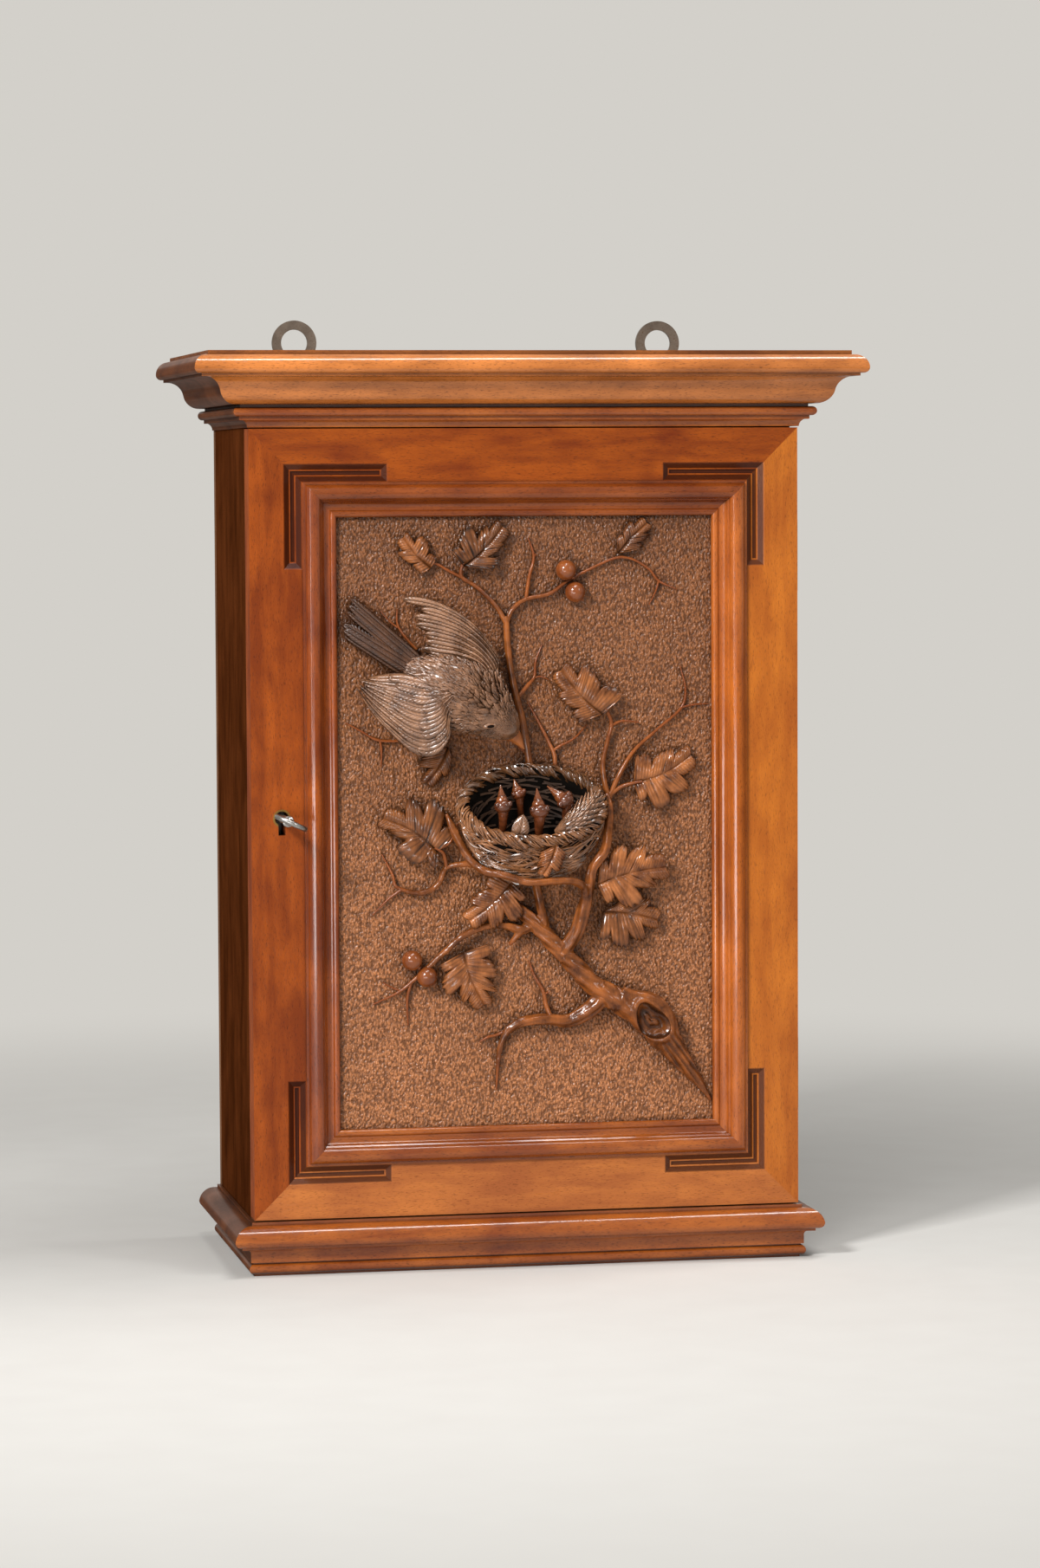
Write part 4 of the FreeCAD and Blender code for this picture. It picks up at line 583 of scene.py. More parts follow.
# tree two: one feather on every point, laid along the flow that the point carries
quillTree, quillIn, quillOut = newTree("quillTree", {"Feather": "Object", "Spread": "Float",
                                                     "Seed": "Int", "Finish": "Material"})
quillUp, quillWay, quillSize = [
    addNode(quillTree, "GeometryNodeInputNamedAttribute", {"Name": name}, data_type=kind)
    for name, kind in (("out", "FLOAT_VECTOR"), ("flow", "FLOAT_VECTOR"), ("size", "FLOAT"))]
quillTurn = addNode(quillTree, "FunctionNodeAxesToRotation", {
    "Primary Axis": quillUp, "Secondary Axis": quillWay}, primary_axis="Z", secondary_axis="Y")
quillLow, quillHigh = [
    addNode(quillTree, "Math", {0: 1.0, 1: quillIn.outputs["Spread"]}, operation=way)
    for way in ("SUBTRACT", "ADD")]
quillDice = addNode(quillTree, "FunctionNodeRandomValue", {
    2: quillLow, 3: quillHigh, "Seed": quillIn.outputs["Seed"]}, data_type="FLOAT")
quillScale = addNode(quillTree, "Math", {0: quillSize, 1: quillDice}, operation="MULTIPLY")
quillShape = addNode(quillTree, "GeometryNodeObjectInfo", {
    "Object": quillIn.outputs["Feather"], "As Instance": True})
quillSet = addNode(quillTree, "GeometryNodeInstanceOnPoints", {
    "Points": quillIn.outputs["Geometry"], "Instance": quillShape.outputs["Geometry"], "Rotation": quillTurn,
    "Scale": quillScale})
closeTree(quillTree, quillSet, quillIn, quillOut)


def growFeathers(name, places, finish, seed):
    # each place is a point, the way out of the surface, the way the feather lies, and its length in mm
    spots, outs, flows, sizes = (np.array(column, float) for column in zip(*places))
    mesh = bpy.data.meshes.new(name)
    mesh.from_pydata(onPanel(spots).tolist(), [], [])
    for label, ways in (("out", outs), ("flow", flows)):
        mark(mesh, label, np.column_stack([ways[:, 0], -ways[:, 2], ways[:, 1]]))
    mark(mesh, "size", sizes * mm)
    return grow(bpy.data.objects.new(name, mesh), quillTree,
                {"Feather": quill, "Spread": 0.12, "Seed": seed, "Finish": finish})


# a short body feather, one unit long, lying along Y with its tip lifted
quillRings, quillBarbs, quillCuts = [], [], []
for along, half in ((0.0, 0.05), (0.3, 0.13), (0.62, 0.15), (0.88, 0.09), (1.0, 0.02)):
    lift = 0.02 + 0.10 * along
    ring = [(-half, along, lift - 0.04), (-0.5 * half, along, lift), (0.0, along, lift + 0.02),
            (0.5 * half, along, lift), (half, along, lift - 0.04), (0.0, along, lift - 0.12)]
    quillRings.append(ring)
    quillBarbs.append([(x / 0.15, 6.0 * along, 0.25) for x, y, z in ring])
    # painted shade at the feather's root, where it slips under the one before, and along its edges
    quillCuts.append([0.45 if along < 0.2 else 0.12 if abs(x) > 0.9 * half else 0.0 for x, y, z in ring])
quill = makePiece("quill", [loft(quillRings, quillBarbs, quillCuts)], featherWood, 100, relief=False)


# branch

limbs = {
    "boughs": {  # (across, up, out, radius) in mm
        "trunk": [(52, -107, 7, 7.2), (38, -97, 7, 6.0), (23, -81, 7, 5.4), (9, -66, 6.5, 4.9),
                  (-4, -53, 5, 3.8), (-9, -48, 3, 1.6)],
        "trunkFoot": [(44, -101, 7, 6.0), (55, -108, 7.5, 7.6), (64, -112, 7, 9.6), (74, -119, 5.5, 11.0),
                      (82, -129, 4.5, 9.5), (90, -140, 3.5, 7.0), (98, -150, 2.6, 4.8),
                      (106, -161, 1.6, 2.6), (112, -170, 0.8, 0.8)],
        "trunkLip": [(56, -103, 9, 4.4), (64, -105, 11, 3.8), (72, -105.5, 12, 3.2), (80, -110, 11.5, 2.8),
                     (86, -119, 9.5, 2.6), (90, -131, 7, 2.4), (96, -144, 4, 1.8)],
        "rightBough": [(19, -79, 7, 4.2), (28, -66, 9, 4.2), (33, -50, 12, 4), (35, -38, 14, 3.3),
                       (37, -27, 16, 3), (44, -17, 17, 2.9), (46.5, -4, 17, 2.7), (47.5, 8, 16, 2.2),
                       (46, 17, 15, 1.2)],
        "underNest": [(33, -47, 13, 2.6), (31, -39, 19, 2.5), (24, -34.5, 25, 2.3), (10, -33.5, 29, 2.2),
                      (-4, -34, 29, 2.2), (-17, -30, 26, 2.2), (-29, -27, 20, 2.5), (-38, -19, 15, 2.6),
                      (-46, -3, 12, 2.4), (-50, 6, 10, 1.2)],
        "stub": [(10, -62, 6, 2.8), (7, -50, 7, 2.6), (5, -38, 7, 2.4), (4, -24, 6, 2.2)],
        "lowBough": [(46, -104, 6, 5.4), (36, -113, 6, 5.0), (24, -119, 5, 4.0), (12, -118, 5, 3.4),
                     (-2, -119, 4, 3.0), (-11, -123, 3.4, 2.5), (-16, -131, 3, 1.9), (-18, -143, 2, 1.3),
                     (-19, -160, 1, 0.7)],
        "berryBough": [(5, -60, 5, 3.6), (-4, -64, 5.5, 3.0), (-12, -62, 6, 2.4), (-21, -61, 6, 2.2),
                       (-36, -65, 6, 2.0), (-50, -76, 5, 1.9), (-62, -87, 4, 1.6)],
        "berrySnag": [(-3, -63, 5, 2.6), (-8, -69, 5, 1.9), (-11, -73, 4, 1.0)],
        "leftBough": [(-29, -26, 18, 2.0), (-37, -24, 10, 1.9), (-45, -25, 6, 1.7), (-50, -27, 5, 1.7),
                      (-54, -36, 4.5, 1.7), (-63, -41, 4, 1.6), (-73, -40, 3.4, 1.5)],
    },
    "twigs": {
        "backStem": [(40, -16, 4, 2.2), (49, 8, 4, 2.2), (47, 22, 4, 2.0), (46, 34, 4, 1.8),
                     (49, 48, 4, 1.5), (51, 58, 5, 1.4), (47, 67, 7, 1.2)],
        "lowSpur": [(-12, -124, 3, 1.5), (-19, -127, 2, 1.1), (-24, -128, 2, 0.9), (-29, -131, 1, 0.5)],
        "lowThorn": [(14, -118, 5, 1.8), (11, -110, 4, 1.7), (9, -101, 4, 1.3), (4, -92, 3, 1.0),
                     (1, -83, 1.5, 0.5)],
        "lowThornBud": [(9.5, -103, 4, 1.0), (12, -102, 4.6, 0.8), (13, -101, 5, 0.5)],
        "berryEnd": [(-61, -86, 4, 1.6), (-70, -94, 3, 1.4), (-78, -100, 2.4, 1.0), (-93, -107, 1, 0.5)],
        "berrySpur": [(-70, -93, 3, 1.2), (-72.5, -104, 2, 1), (-72, -120, 1, 0.5)],
        "berryHair": [(-77, -99, 2.4, 0.8), (-82, -97, 1.6, 0.6), (-87, -94, 1, 0.4)],
        "leftEnd": [(-72, -40, 3.4, 1.5), (-79, -37, 2.6, 1.2), (-81, -30, 2, 1.0), (-87, -18, 1, 0.5)],
        "leftSpur": [(-76, -39, 3, 1.2), (-84, -45, 2, 0.8), (-93, -54, 1, 0.4)],
        "leafStalk": [(-49, -27, 5, 1.6), (-50, -22, 7, 1.4), (-52, -17, 9, 1.3), (-57, -14, 10, 1.0)],
        "leafHook": [(-55, -15, 9, 1.2), (-48, -11, 10, 1.2), (-45, -5, 10, 1.0), (-43, 0, 9, 0.7)],
        "tallStem": [(2, 31, 3, 2.8), (0, 45, 3.4, 2.6), (-3, 62, 3.4, 2.5), (-8, 82, 3.4, 2.4),
                     (-11, 102, 3.2, 2.4), (-12, 122, 3, 2.2)],
        "tallLeft": [(-11.5, 117, 3, 2.0), (-18, 128, 3, 1.8), (-29, 139, 3, 1.5), (-38, 145, 3, 1.4),
                     (-39, 150, 4, 1.2), (-37, 155, 5, 1.0)],
        "tallRight": [(-12, 118, 3, 2), (-8, 126, 3, 1.7), (0, 132, 3, 1.6), (14, 135, 3, 1.4),
                      (26, 143, 3, 1.2), (40, 150, 2, 1.0), (55, 156, 2, 1.0), (65, 155, 2, 0.9),
                      (75, 149, 2, 0.9), (81, 142, 1.6, 0.9), (92, 137, 1, 0.4)],
        "tallTwig": [(0, 132, 3, 1.4), (2, 145, 3, 1.2), (5, 157, 2.2, 1.0), (2, 168, 1, 0.5)],
        "tallTwigBud": [(4.6, 156, 2.2, 0.8), (6.5, 159, 2, 0.5)],
        "tallSpur": [(81, 143, 1.8, 0.9), (79, 136, 1.4, 0.7), (75, 128, 1, 0.4)],
        "smallLeafStalk": [(-38, 145, 3, 1.2), (-46, 149, 3, 1.0), (-53, 153, 3, 0.9), (-58, 154, 4, 0.8)],
        "middleTwig": [(-5, 74, 3, 1.7), (1, 81, 2.6, 1.4), (5, 86, 2.2, 1.1), (6, 95, 1.6, 0.8),
                       (10, 105, 1, 0.4)],
        "middleSpur": [(4, 85, 2.2, 0.9), (9, 86, 1.6, 0.7), (14, 84, 1, 0.4)],
        "nestTwig": [(17, 24, 3, 1.8), (17, 38, 3, 1.6), (14, 46, 2.6, 1.3), (8, 58, 2, 1.0),
                     (1, 71, 1, 0.4)],
        "nestSpur": [(16, 42, 3, 1.3), (21, 45, 2.4, 1.0), (29, 49, 2, 0.8), (37, 57, 1, 0.4)],
        "rightTwig": [(49, 12, 4, 2.0), (57, 29, 4, 1.7), (66, 42, 3, 1.4), (80, 54, 2.4, 1.1),
                      (94, 66, 2, 1.0), (97, 77, 1.6, 0.8), (94, 91, 1, 0.4)],
        "rightSpur": [(93, 66, 2, 0.9), (101, 68, 1.6, 0.7), (111, 68.5, 1, 0.4)],
        "rightLeafStalk": [(50, 15, 4, 1.6), (57, 20, 5, 1.4), (63, 22, 7, 1.2), (69, 23, 8, 1.0)],
        "stemSpur": [(50, 56, 5, 1.2), (58, 59, 3.6, 0.9), (68, 58, 2, 0.5)],
        "leftThorn": [(-108, 60, 1, 0.4), (-99, 55, 1.6, 0.8), (-90, 50, 2, 1.1), (-80, 49, 2.4, 1.0),
                      (-72, 50, 3, 1.0)],
        "leftThornSpur": [(-88, 50, 2, 1.0), (-87, 44, 1.6, 0.8), (-87, 34, 1, 0.4)],
        "tailThorn": [(-77, 127, 1, 0.4), (-77, 118, 2, 0.8), (-73, 111, 2.6, 1.0), (-66, 103, 4, 1.1)],
        "tailThornSpur": [(-77, 116, 2, 0.8), (-82, 120, 1.4, 0.6), (-87, 126, 1, 0.4)],
        "beakTwig": [(2, 36, 3, 1.2), (-1, 41, 3, 1.0), (-6, 46, 3.4, 0.8), (-12, 49, 5, 0.6)],
    },
}


def rounded(limb, step=1.2):
    length = np.linalg.norm(np.diff(np.array(limb)[:, :3], axis=0), axis=1).sum()
    return smoothPath(limb, max(6, int(length / step)))


def blendSkin(mesh, finish, voxel, passes):
    # grown stems that meet are fused, and their joints eased as a carver would
    piece = bpy.data.objects.new("blend", mesh)
    room.link(piece)
    fuse = piece.modifiers.new("fuse", "REMESH")
    fuse.mode, fuse.voxel_size = "VOXEL", voxel * mm
    ease = piece.modifiers.new("ease", "SMOOTH")
    ease.factor, ease.iterations = 0.5, passes
    return skinOf(settled(piece), finish)


# the torn foot of the branch: a lip round a ringed hollow, with grain that runs out into a splinter
tornFoot = {"middle": (73.5, -120), "half": (8.6, 13.0), "turn": 36, "deep": 7.5, "lip": 2.4, "ring": 0.55,
            "grain": 0.7, "grainStep": 1.9}
barkLines = {"ridges": 5, "depth": 0.4, "twist": 0.3, "plainUnder": 1.5, "fullOver": 4.5}  # radii in mm


def carveBough(points, runs, nearest, foot, bark):
    # flutes along the limbs, then the hollow; points are (across, up, out)
    ways = unit(np.gradient(runs[:, :3], axis=0))[nearest]
    mid = runs[nearest]
    side = unit(np.cross(ways, [0, 0, 1.0]))
    lift = np.cross(side, ways)
    rel = points - mid[:, :3]
    angle = np.arctan2((rel * lift).sum(1), (rel * side).sum(1))
    run = mid[:, 0] * 0.7 - mid[:, 1] * 0.7
    flute = np.sin(bark["ridges"] * angle + bark["twist"] * run + 1.5 * np.sin(0.09 * run))
    stout = np.clip((mid[:, 3] - bark["plainUnder"]) / (bark["fullOver"] - bark["plainUnder"]), 0, 1)
    points = points + unit(rel) * (bark["depth"] * stout * flute)[:, None]
    # painted shade in the troughs of the flutes
    cut = 0.35 * np.clip(-flute, 0, 1) * stout
    turn = math.radians(foot["turn"])
    flat = points[:, :2] - np.array(foot["middle"])
    x = (flat[:, 0] * math.cos(turn) + flat[:, 1] * math.sin(turn)) / foot["half"][0]
    y = (-flat[:, 0] * math.sin(turn) + flat[:, 1] * math.cos(turn)) / foot["half"][1]
    swirl = np.arctan2(y, x)
    r = np.hypot(x, y) * (1 + 0.07 * np.sin(3 * swirl + 0.5) + 0.05 * np.sin(2 * swirl))
    rings = np.sin(12 * r + 1.3 * np.sin(2 * swirl + 0.6) + 0.8 * np.sin(3 * swirl))
    front = np.clip((points[:, 2] - 2) / 4, 0, 1)
    inside = np.clip(1 - r, 0, 1)
    points[:, 2] -= front * foot["deep"] * np.minimum(1, 2.6 * inside) * (0.75 + 0.25 * inside)
    points[:, 2] += front * (foot["lip"] * np.exp(-((r - 1.1) / 0.16) ** 2) * (0.7 + 0.3 * np.sin(2 * swirl))
                             + foot["ring"] * rings * (r < 0.95))
    # painted shade: the hollow is darkened, its ring troughs most
    cut = np.maximum(cut, front * np.where(r < 0.98, 0.35 + 0.4 * (rings < -0.2), 0))
    tail = np.clip((flat[:, 0] * 0.62 - flat[:, 1] * 0.78 - 12) / 8, 0, 1)  # beyond the hollow
    across = flat[:, 0] * 0.78 + flat[:, 1] * 0.62
    grain = np.sin(foot["grainStep"] * across + 0.03 * run)
    points[:, 2] += tail * front * foot["grain"] * grain
    # painted shade in the troughs of the grain past the hollow
    cut = np.maximum(cut, tail * front * 0.5 * (grain < -0.3))
    return points, np.clip(cut, 0, 1)


boughPaths = [rounded(limb) for limb in limbs["boughs"].values()]
boughSkin = blendSkin(growStems("boughs", boughPaths, branchWood, 20, 1.3, 6.0), branchWood, 0.55, 4)
boughRuns = np.vstack(boughPaths)
finder = KDTree(len(boughRuns))
for k, spot in enumerate(onPanel(boughRuns)):
    finder.insert(spot, k)
finder.balance()
nearest = np.array([finder.find(spot)[1] for spot in onPanel(boughSkin[0])])
carved, boughCut = carveBough(boughSkin[0], boughRuns, nearest, tornFoot, barkLines)
boughSkin[2][:, 0] = boughRuns[nearest, 3] * mm
boughSkin = (carved, *boughSkin[1:3], boughCut)
twigPaths = [rounded(limb, 1.0) * [1, 1, 1, 0.85] for limb in limbs["twigs"].values()]
twigSkin = skinOf(growStems("twigs", twigPaths, branchWood, 9, 0.25, 4.0), branchWood)
branch = makePiece("carvedBranch", [boughSkin, twigSkin], branchWood, 70)
print("branch:", len(branch.data.polygons), "faces")


# leaves, in mm: the stalk's end, the tip, how far the midrib bows aside and the ends of the side lobes

leaves = [
    {"stalk": (-56.8, 150.9, 4), "tip": (-73.5, 169, 5), "bow": 1.5, "stain": 0.1, "lobes": [
        (-75.0, 159.5, 4), (-63.5, 148.0, 5), (-54.0, 158.0, 5), (-59.0, 169.0, 5)]},
    {"stalk": (-37.7, 151.5, 5), "tip": (-14.5, 175, 6), "bow": -1.5, "stain": 0.45, "lobes": [
        (-45.0, 161.5, 8), (-38.5, 173.0, 7), (-26.0, 176.0, 5), (-21.0, 150.5, 10), (-15.0, 164.5, 6)]},
    {"stalk": (56.1, 158.5, 2), "tip": (73.5, 176.5, 3), "bow": 1.0, "stain": 0.3, "lobes": [
        (55.5, 168.0, 3), (62.5, 176.0, 3), (69.5, 161.5, 4), (76.0, 168.5, 3)]},
    {"stalk": (45.5, 63.3, 7), "tip": (20.5, 90.0, 8), "bow": 2.0, "stain": 0.15, "lobes": [
        (57.5, 75.5, 9), (38.5, 93.0, 9), (31.0, 59.5, 8), (21.5, 73.5, 9)]},
    {"stalk": (63.9, 22.1, 7), "tip": (99.0, 38.0, 6), "bow": -2.5, "lobes": [
        (66.0, 38.5, 8), (84.0, 44.0, 7), (68.5, 11.5, 8), (80.5, 8.5, 8), (94.0, 19.0, 7)]},
    {"stalk": (-47.5, 45.1, 5), "tip": (-60.0, 24.0, 4), "bow": 1.0, "stain": 0.3, "lobes": [
        (-65.0, 37.0, 4), (-47.0, 31.0, 5)]},
    {"stalk": (-54.7, -16.9, 10), "tip": (-87.0, 3.5, 8), "bow": -3.0, "stain": 0.35, "lobes": [
        (-45.0, -4.0, 10), (-55.5, 10.5, 10), (-71.0, 13.0, 9), (-57.5, -26.5, 13), (-74.0, -22.5, 11),
        (-86.0, -7.0, 7)]},
    {"stalk": (-10.8, -35.4, 12), "tip": (-36.5, -57.5, 10), "bow": 1.5, "lobes": [
        (-23.0, -29.5, 13), (-35.5, -42.5, 11), (-3.0, -45.0, 13), (-6.0, -55.5, 11), (-20.0, -60.5, 10)]},
    {"stalk": (40.4, -37.7, 13), "tip": (82.0, -28.0, 12), "bow": 2.0, "lobes": [
        (43.0, -23.5, 14), (53.0, -16.5, 14), (68.0, -17.0, 13), (47.5, -49.0, 13), (61.5, -52.5, 13),
        (76.0, -41.5, 12)]},
    {"stalk": (45.0, -54.6, 6), "tip": (78.5, -60.0, 6), "bow": 1.5, "stain": 0.2, "lobes": [
        (60.0, -46.5, 7), (73.0, -48.5, 7), (43.5, -71.0, 9), (56.0, -77.0, 8), (68.0, -74.0, 7)]},
    {"stalk": (-39.2, -76.5, 6), "tip": (-27.0, -108.0, 7), "bow": -2.0, "stain": 0.05, "lobes": [
        (-23.5, -72.5, 8), (-18.5, -87.0, 8), (-17.5, -99.0, 7), (-53.0, -84.5, 7), (-50.0, -96.5, 6),
        (-38.5, -105.0, 6)]},
    {"stalk": (12.0, -12.0, 31.5), "tip": (4.0, -29.5, 30.5), "bow": 0.8, "onNest": True, "web": 0.86,
     "lobes": [(2.5, -16.5, 31.5), (0.0, -23.5, 31), (18.0, -18.0, 31), (14.5, -25.5, 30.5)]},
]
leafCut = {"rows": 84, "across": 25, "thick": 1.7, "lineStep": 1.7, "lineDepth": 0.15, "veinDepth": 0.6,
           "veinWide": 0.8, "ribDepth": 0.9, "ribWide": 0.7, "crown": 1.3, "arch": 1.6, "web": 0.50,
           "blunt": 2.8, "tooth": 0.06, "endShare": 0.19, "roots": (0.04, 0.47), "loneRoot": 0.22,
           "endRoot": 0.82, "edgeDrop": 0.8, "sunk": -0.6}


def leafEdges(leaf, side, rows, length, axes, sizes):
    # half width, lean and height of the edge along one side, and where its lobes are rooted on the rib
    ahead, aside = axes
    found = []
    for lobe in leaf["lobes"]:
        rel = np.array(lobe[:2]) - leaf["stalk"][:2]
        out = float(rel @ aside)
        if out * side > 0:
            found.append((float(rel @ ahead), abs(out), lobe[2]))
    found.sort()
    first, last = sizes["roots"]
    count = len(found)
    roots = [sizes["loneRoot"]]
    if count > 1:
        roots = [first + (last - first) * k / (count - 1) for k in range(count)]
    roots.append(sizes["endRoot"])
    wide = [f[1] for f in found] + [sizes["endShare"] * length]
    lean = [(f[0] - root * length) / f[1] for f, root in zip(found, roots)] + [0.5]
    outs = [f[2] for f in found] + [leaf["tip"][2]]
    notches = [0.0] + [0.5 * (a + b) for a, b in zip(roots, roots[1:])] + [1.0]
    web = leaf.get("web", sizes["web"])
    depths = [0.8] + [web * min(a, b) for a, b in zip(wide[:-1], wide[1:-1])] + [0.85 * wide[-1], 0.05]
    width = np.empty(len(rows))
    for k, t in enumerate(rows):
        q = min(max(int(np.searchsorted(notches, t, side="right")) - 1, 0), len(roots) - 1)
        stop, floor = (notches[q], depths[q]) if t < roots[q] else (notches[q + 1], depths[q + 1])
        x = min(abs((t - roots[q]) / (stop - roots[q])), 1.0)
        width[k] = floor + (wide[q] - floor) * (1 - x ** sizes["blunt"]) ** (1 / sizes["blunt"])
        width[k] *= 1 + sizes["tooth"] * math.cos(5 * math.pi * x) * (1 - x)
    return width, np.interp(rows, roots, lean), np.interp(rows, roots, outs), roots


def carveLeaf(leaf, sizes):
    stalk, tip = np.array(leaf["stalk"], float), np.array(leaf["tip"], float)
    length = float(np.linalg.norm(tip[:2] - stalk[:2]))
    ahead = (tip[:2] - stalk[:2]) / length
    aside = np.array([-ahead[1], ahead[0]])
    rows = np.linspace(0, 1, sizes["rows"])
    edges = {side: leafEdges(leaf, side, rows, length, (ahead, aside), sizes) for side in (1, -1)}
    stain = leaf.get("stain", 0)
    rings, cuts = [], []
    half = sizes["across"] // 2
    for k, t in enumerate(rows):
        rib = stalk[:2] + ahead * t * length + aside * leaf["bow"] * math.sin(math.pi * t)
        ribOut = stalk[2] * (1 - t) + tip[2] * t + sizes["arch"] * math.sin(math.pi * t)
        top, dark = [], []
        for step in range(-half, half + 1):
            side = 1 if step >= 0 else -1
            width, lean, outs = [column[k] for column in edges[side][:3]]
            roots = edges[side][3][:-1]
            share = abs(step) / half
            x = share * width
            flat = rib + aside * side * x + ahead * lean * x
            swell = sizes["crown"] * (1 - (2 * share - 1) ** 2) * min(1, width / 5)
            near = max(math.exp(-((t - root) * length / sizes["veinWide"]) ** 2) for root in roots)
            groove = near * min(1, x / 2) * (1 - share)
            line = math.sin(2 * math.pi * t * length / sizes["lineStep"]) * min(1, x / 2)
            mid = math.exp(-(x / sizes["ribWide"]) ** 2) * (1 - t)
            out = ribOut + (outs - ribOut) * share ** 1.4 + swell + sizes["lineDepth"] * line
            out -= sizes["veinDepth"] * groove + sizes["ribDepth"] * mid + sizes["edgeDrop"] * share ** 8
            top.append((*flat, out))
            # painted shade in the veins, along the midrib, in the troughs of the lines and at the dropped
            # edge; stain is the leaf's own tone
            shade = 0.55 * groove + 0.7 * mid + 0.32 * max(0, -line) + 0.45 * share ** 10
            dark.append(min(1, stain + shade))
        low = []
        for step, point in zip(range(half, -half - 1, -1), reversed(top)):
            share = abs(step) / half
            foot = max(0.0, 1 - share / 0.5) * max(0.0, 1 - abs(t - 0.45) / 0.4)  # joined under its middle
            base = point[2] - sizes["thick"] * (0.6 + 0.4 * (share < 0.95))
            ground = point[2] - 4.5 if leaf.get("onNest") else sizes["sunk"]
            low.append((*point[:2], max(base + (ground - base) * min(1, 2.5 * foot), sizes["sunk"])))
        rings.append(top + low)
        # the underside is painted dark as shade
        cuts.append(dark + [0.9] * len(low))
    return loft(rings, cut=cuts)


leafPiece = makePiece("carvedLeaves", [carveLeaf(leaf, leafCut) for leaf in leaves], leafWood, 55)
print("leaves:", len(leafPiece.data.polygons), "faces")


# berries

berrySizes = {"middles": [(-70, -81, 4.5), (-61, -91, 4.5), (24, 149, 4.5), (29.5, 136, 4.5)], "radius": 6.2,
              "crown": 1.3, "sepals": 5, "seat": 2.4}


def turnBerry(middle, sizes):
    r = sizes["radius"]
    mid = np.array(middle, float)
    skins = [ball(mid, np.eye(3)[[0, 2, 1]], (r, 0.97 * r, r), rows=17, around=28, end=math.pi / 2 - 0.05)]
    for k in range(sizes["sepals"]):  # the dried crown at the flower end
        way = np.array([math.cos(1.26 * k + 0.3), math.sin(1.26 * k + 0.3), 0])
        start = mid + np.array([0.62, -0.70, 0.32]) * r
        skins.append(tube([(*start, 0.5), (*(start + 0.5 * sizes["crown"] * way + [0, 0, 0.25]), 0.42),
                           (*(start + sizes["crown"] * way + [0, 0, 0.1]), 0.15)], 6))
    skins.append(tube([(*mid[:2], 0.5, sizes["seat"]), (*(mid + [0, 0, -2.0]), sizes["seat"])], 12))
    return skins


berrySkins = [skin for middle in berrySizes["middles"] for skin in turnBerry(middle, berrySizes)]
berries = makePiece("carvedBerries", berrySkins, berryWood)
print("berries made")


# bird

bird = {
    # (across, up, out, half width, half depth) from the root of the tail to the face
    "spine": [(-75, 92.5, 10, 4.5, 4), (-66, 89.5, 12, 10.5, 8), (-55, 84, 14.5, 17, 13.5),
              (-44, 77.5, 16, 20.5, 16.5), (-34, 72, 18, 18.8, 15.5), (-26, 66.5, 19.5, 15.8, 13.5),
              (-19.5, 61, 20, 12.3, 11.5), (-14.2, 56.2, 19.5, 8.6, 8.6), (-11, 53, 18.6, 4.6, 5)],
    "beak": [(-13, 55, 19.5, 5.2), (-10.0, 51.6, 19.2, 4.0), (-7.2, 48.0, 18.6, 2.4),
             (-4.2, 43.8, 17.6, 0.3)],
    "eye": (-27.0, 58.6, 31.2, 1.9),
    "upperWing": {
        "lead": [(-20.5, 87, 15), (-18.3, 95.5, 16), (-22.7, 104.5, 16), (-30.6, 115, 14), (-40.9, 124, 12),
                 (-54.1, 130.8, 10), (-65.9, 133.9, 8), (-75.4, 134.9, 6)],
        "trail": [(-25.5, 84, 17), (-33, 92, 17), (-43, 94, 15), (-53, 94, 12), (-61, 96, 9)],
        "crown": 3.2, "thick": 5.0, "ridge": 1.7,
        "tiers": [(0.24, 1.0, 8, 0.0), (0.10, 0.52, 8, 0.9), (0.0, 0.26, 8, 1.6)]},  # from, to, many, lift
    "lowerWing": {
        "lead": [(-47, 74, 27), (-50.5, 61.2, 25), (-50.5, 51.4, 23), (-56, 43.9, 21), (-63.2, 41.2, 19),
                 (-72.7, 44.5, 17), (-81.8, 52.6, 14), (-91.1, 62.6, 11), (-98.3, 73, 9),
                 (-103.8, 83.0, 7)],
        "trail": [(-52, 80, 27), (-62.6, 84.6, 22), (-77, 89.0, 17), (-91.1, 88.0, 11), (-101.5, 86.5, 8)],
        "crown": 3.0, "thick": 5.0, "ridge": 1.1,
        "tiers": [(0.48, 1.0, 8, 0.0), (0.28, 0.72, 9, 0.9), (0.12, 0.46, 9, 1.6), (0.0, 0.26, 8, 2.2)]},
    "tail": [  # root, tip, half width at the root and at the tip
        {"root": (-64, 96, 12), "tip": (-105.5, 133.5, 6), "half": (2.6, 2.4)},
        {"root": (-66, 94, 13), "tip": (-106.8, 129.8, 7), "half": (2.8, 2.6)},
        {"root": (-69, 92.5, 13), "tip": (-107.5, 126, 6), "half": (2.4, 2.2)},
        {"root": (-70, 93, 14), "tip": (-110.6, 118.8, 8), "half": (2.8, 2.8)},
        {"root": (-72, 90.5, 14), "tip": (-110.4, 115.5, 8.6), "half": (2.8, 2.6)},
        {"root": (-74, 88.5, 12), "tip": (-109.5, 112.2, 7), "half": (2.4, 2.2)}],
}
birdBuild = {"bodyRows": 60, "bodyRound": 52, "featherSize": 3.0, "featherShare": 0.20, "headFrom": 0.74,
             "headFine": 0.42, "rowStep": 0.36, "besideStep": 0.26, "sweep": (-6, 192), "eyeClear": 3.6,
             "napeAt": 0.70, "napeReach": 15, "wingFine": 81, "wingRows": 44, "wingAcross": 18,
             "quillRows": 40, "tailRows": 34, "seed": 11}


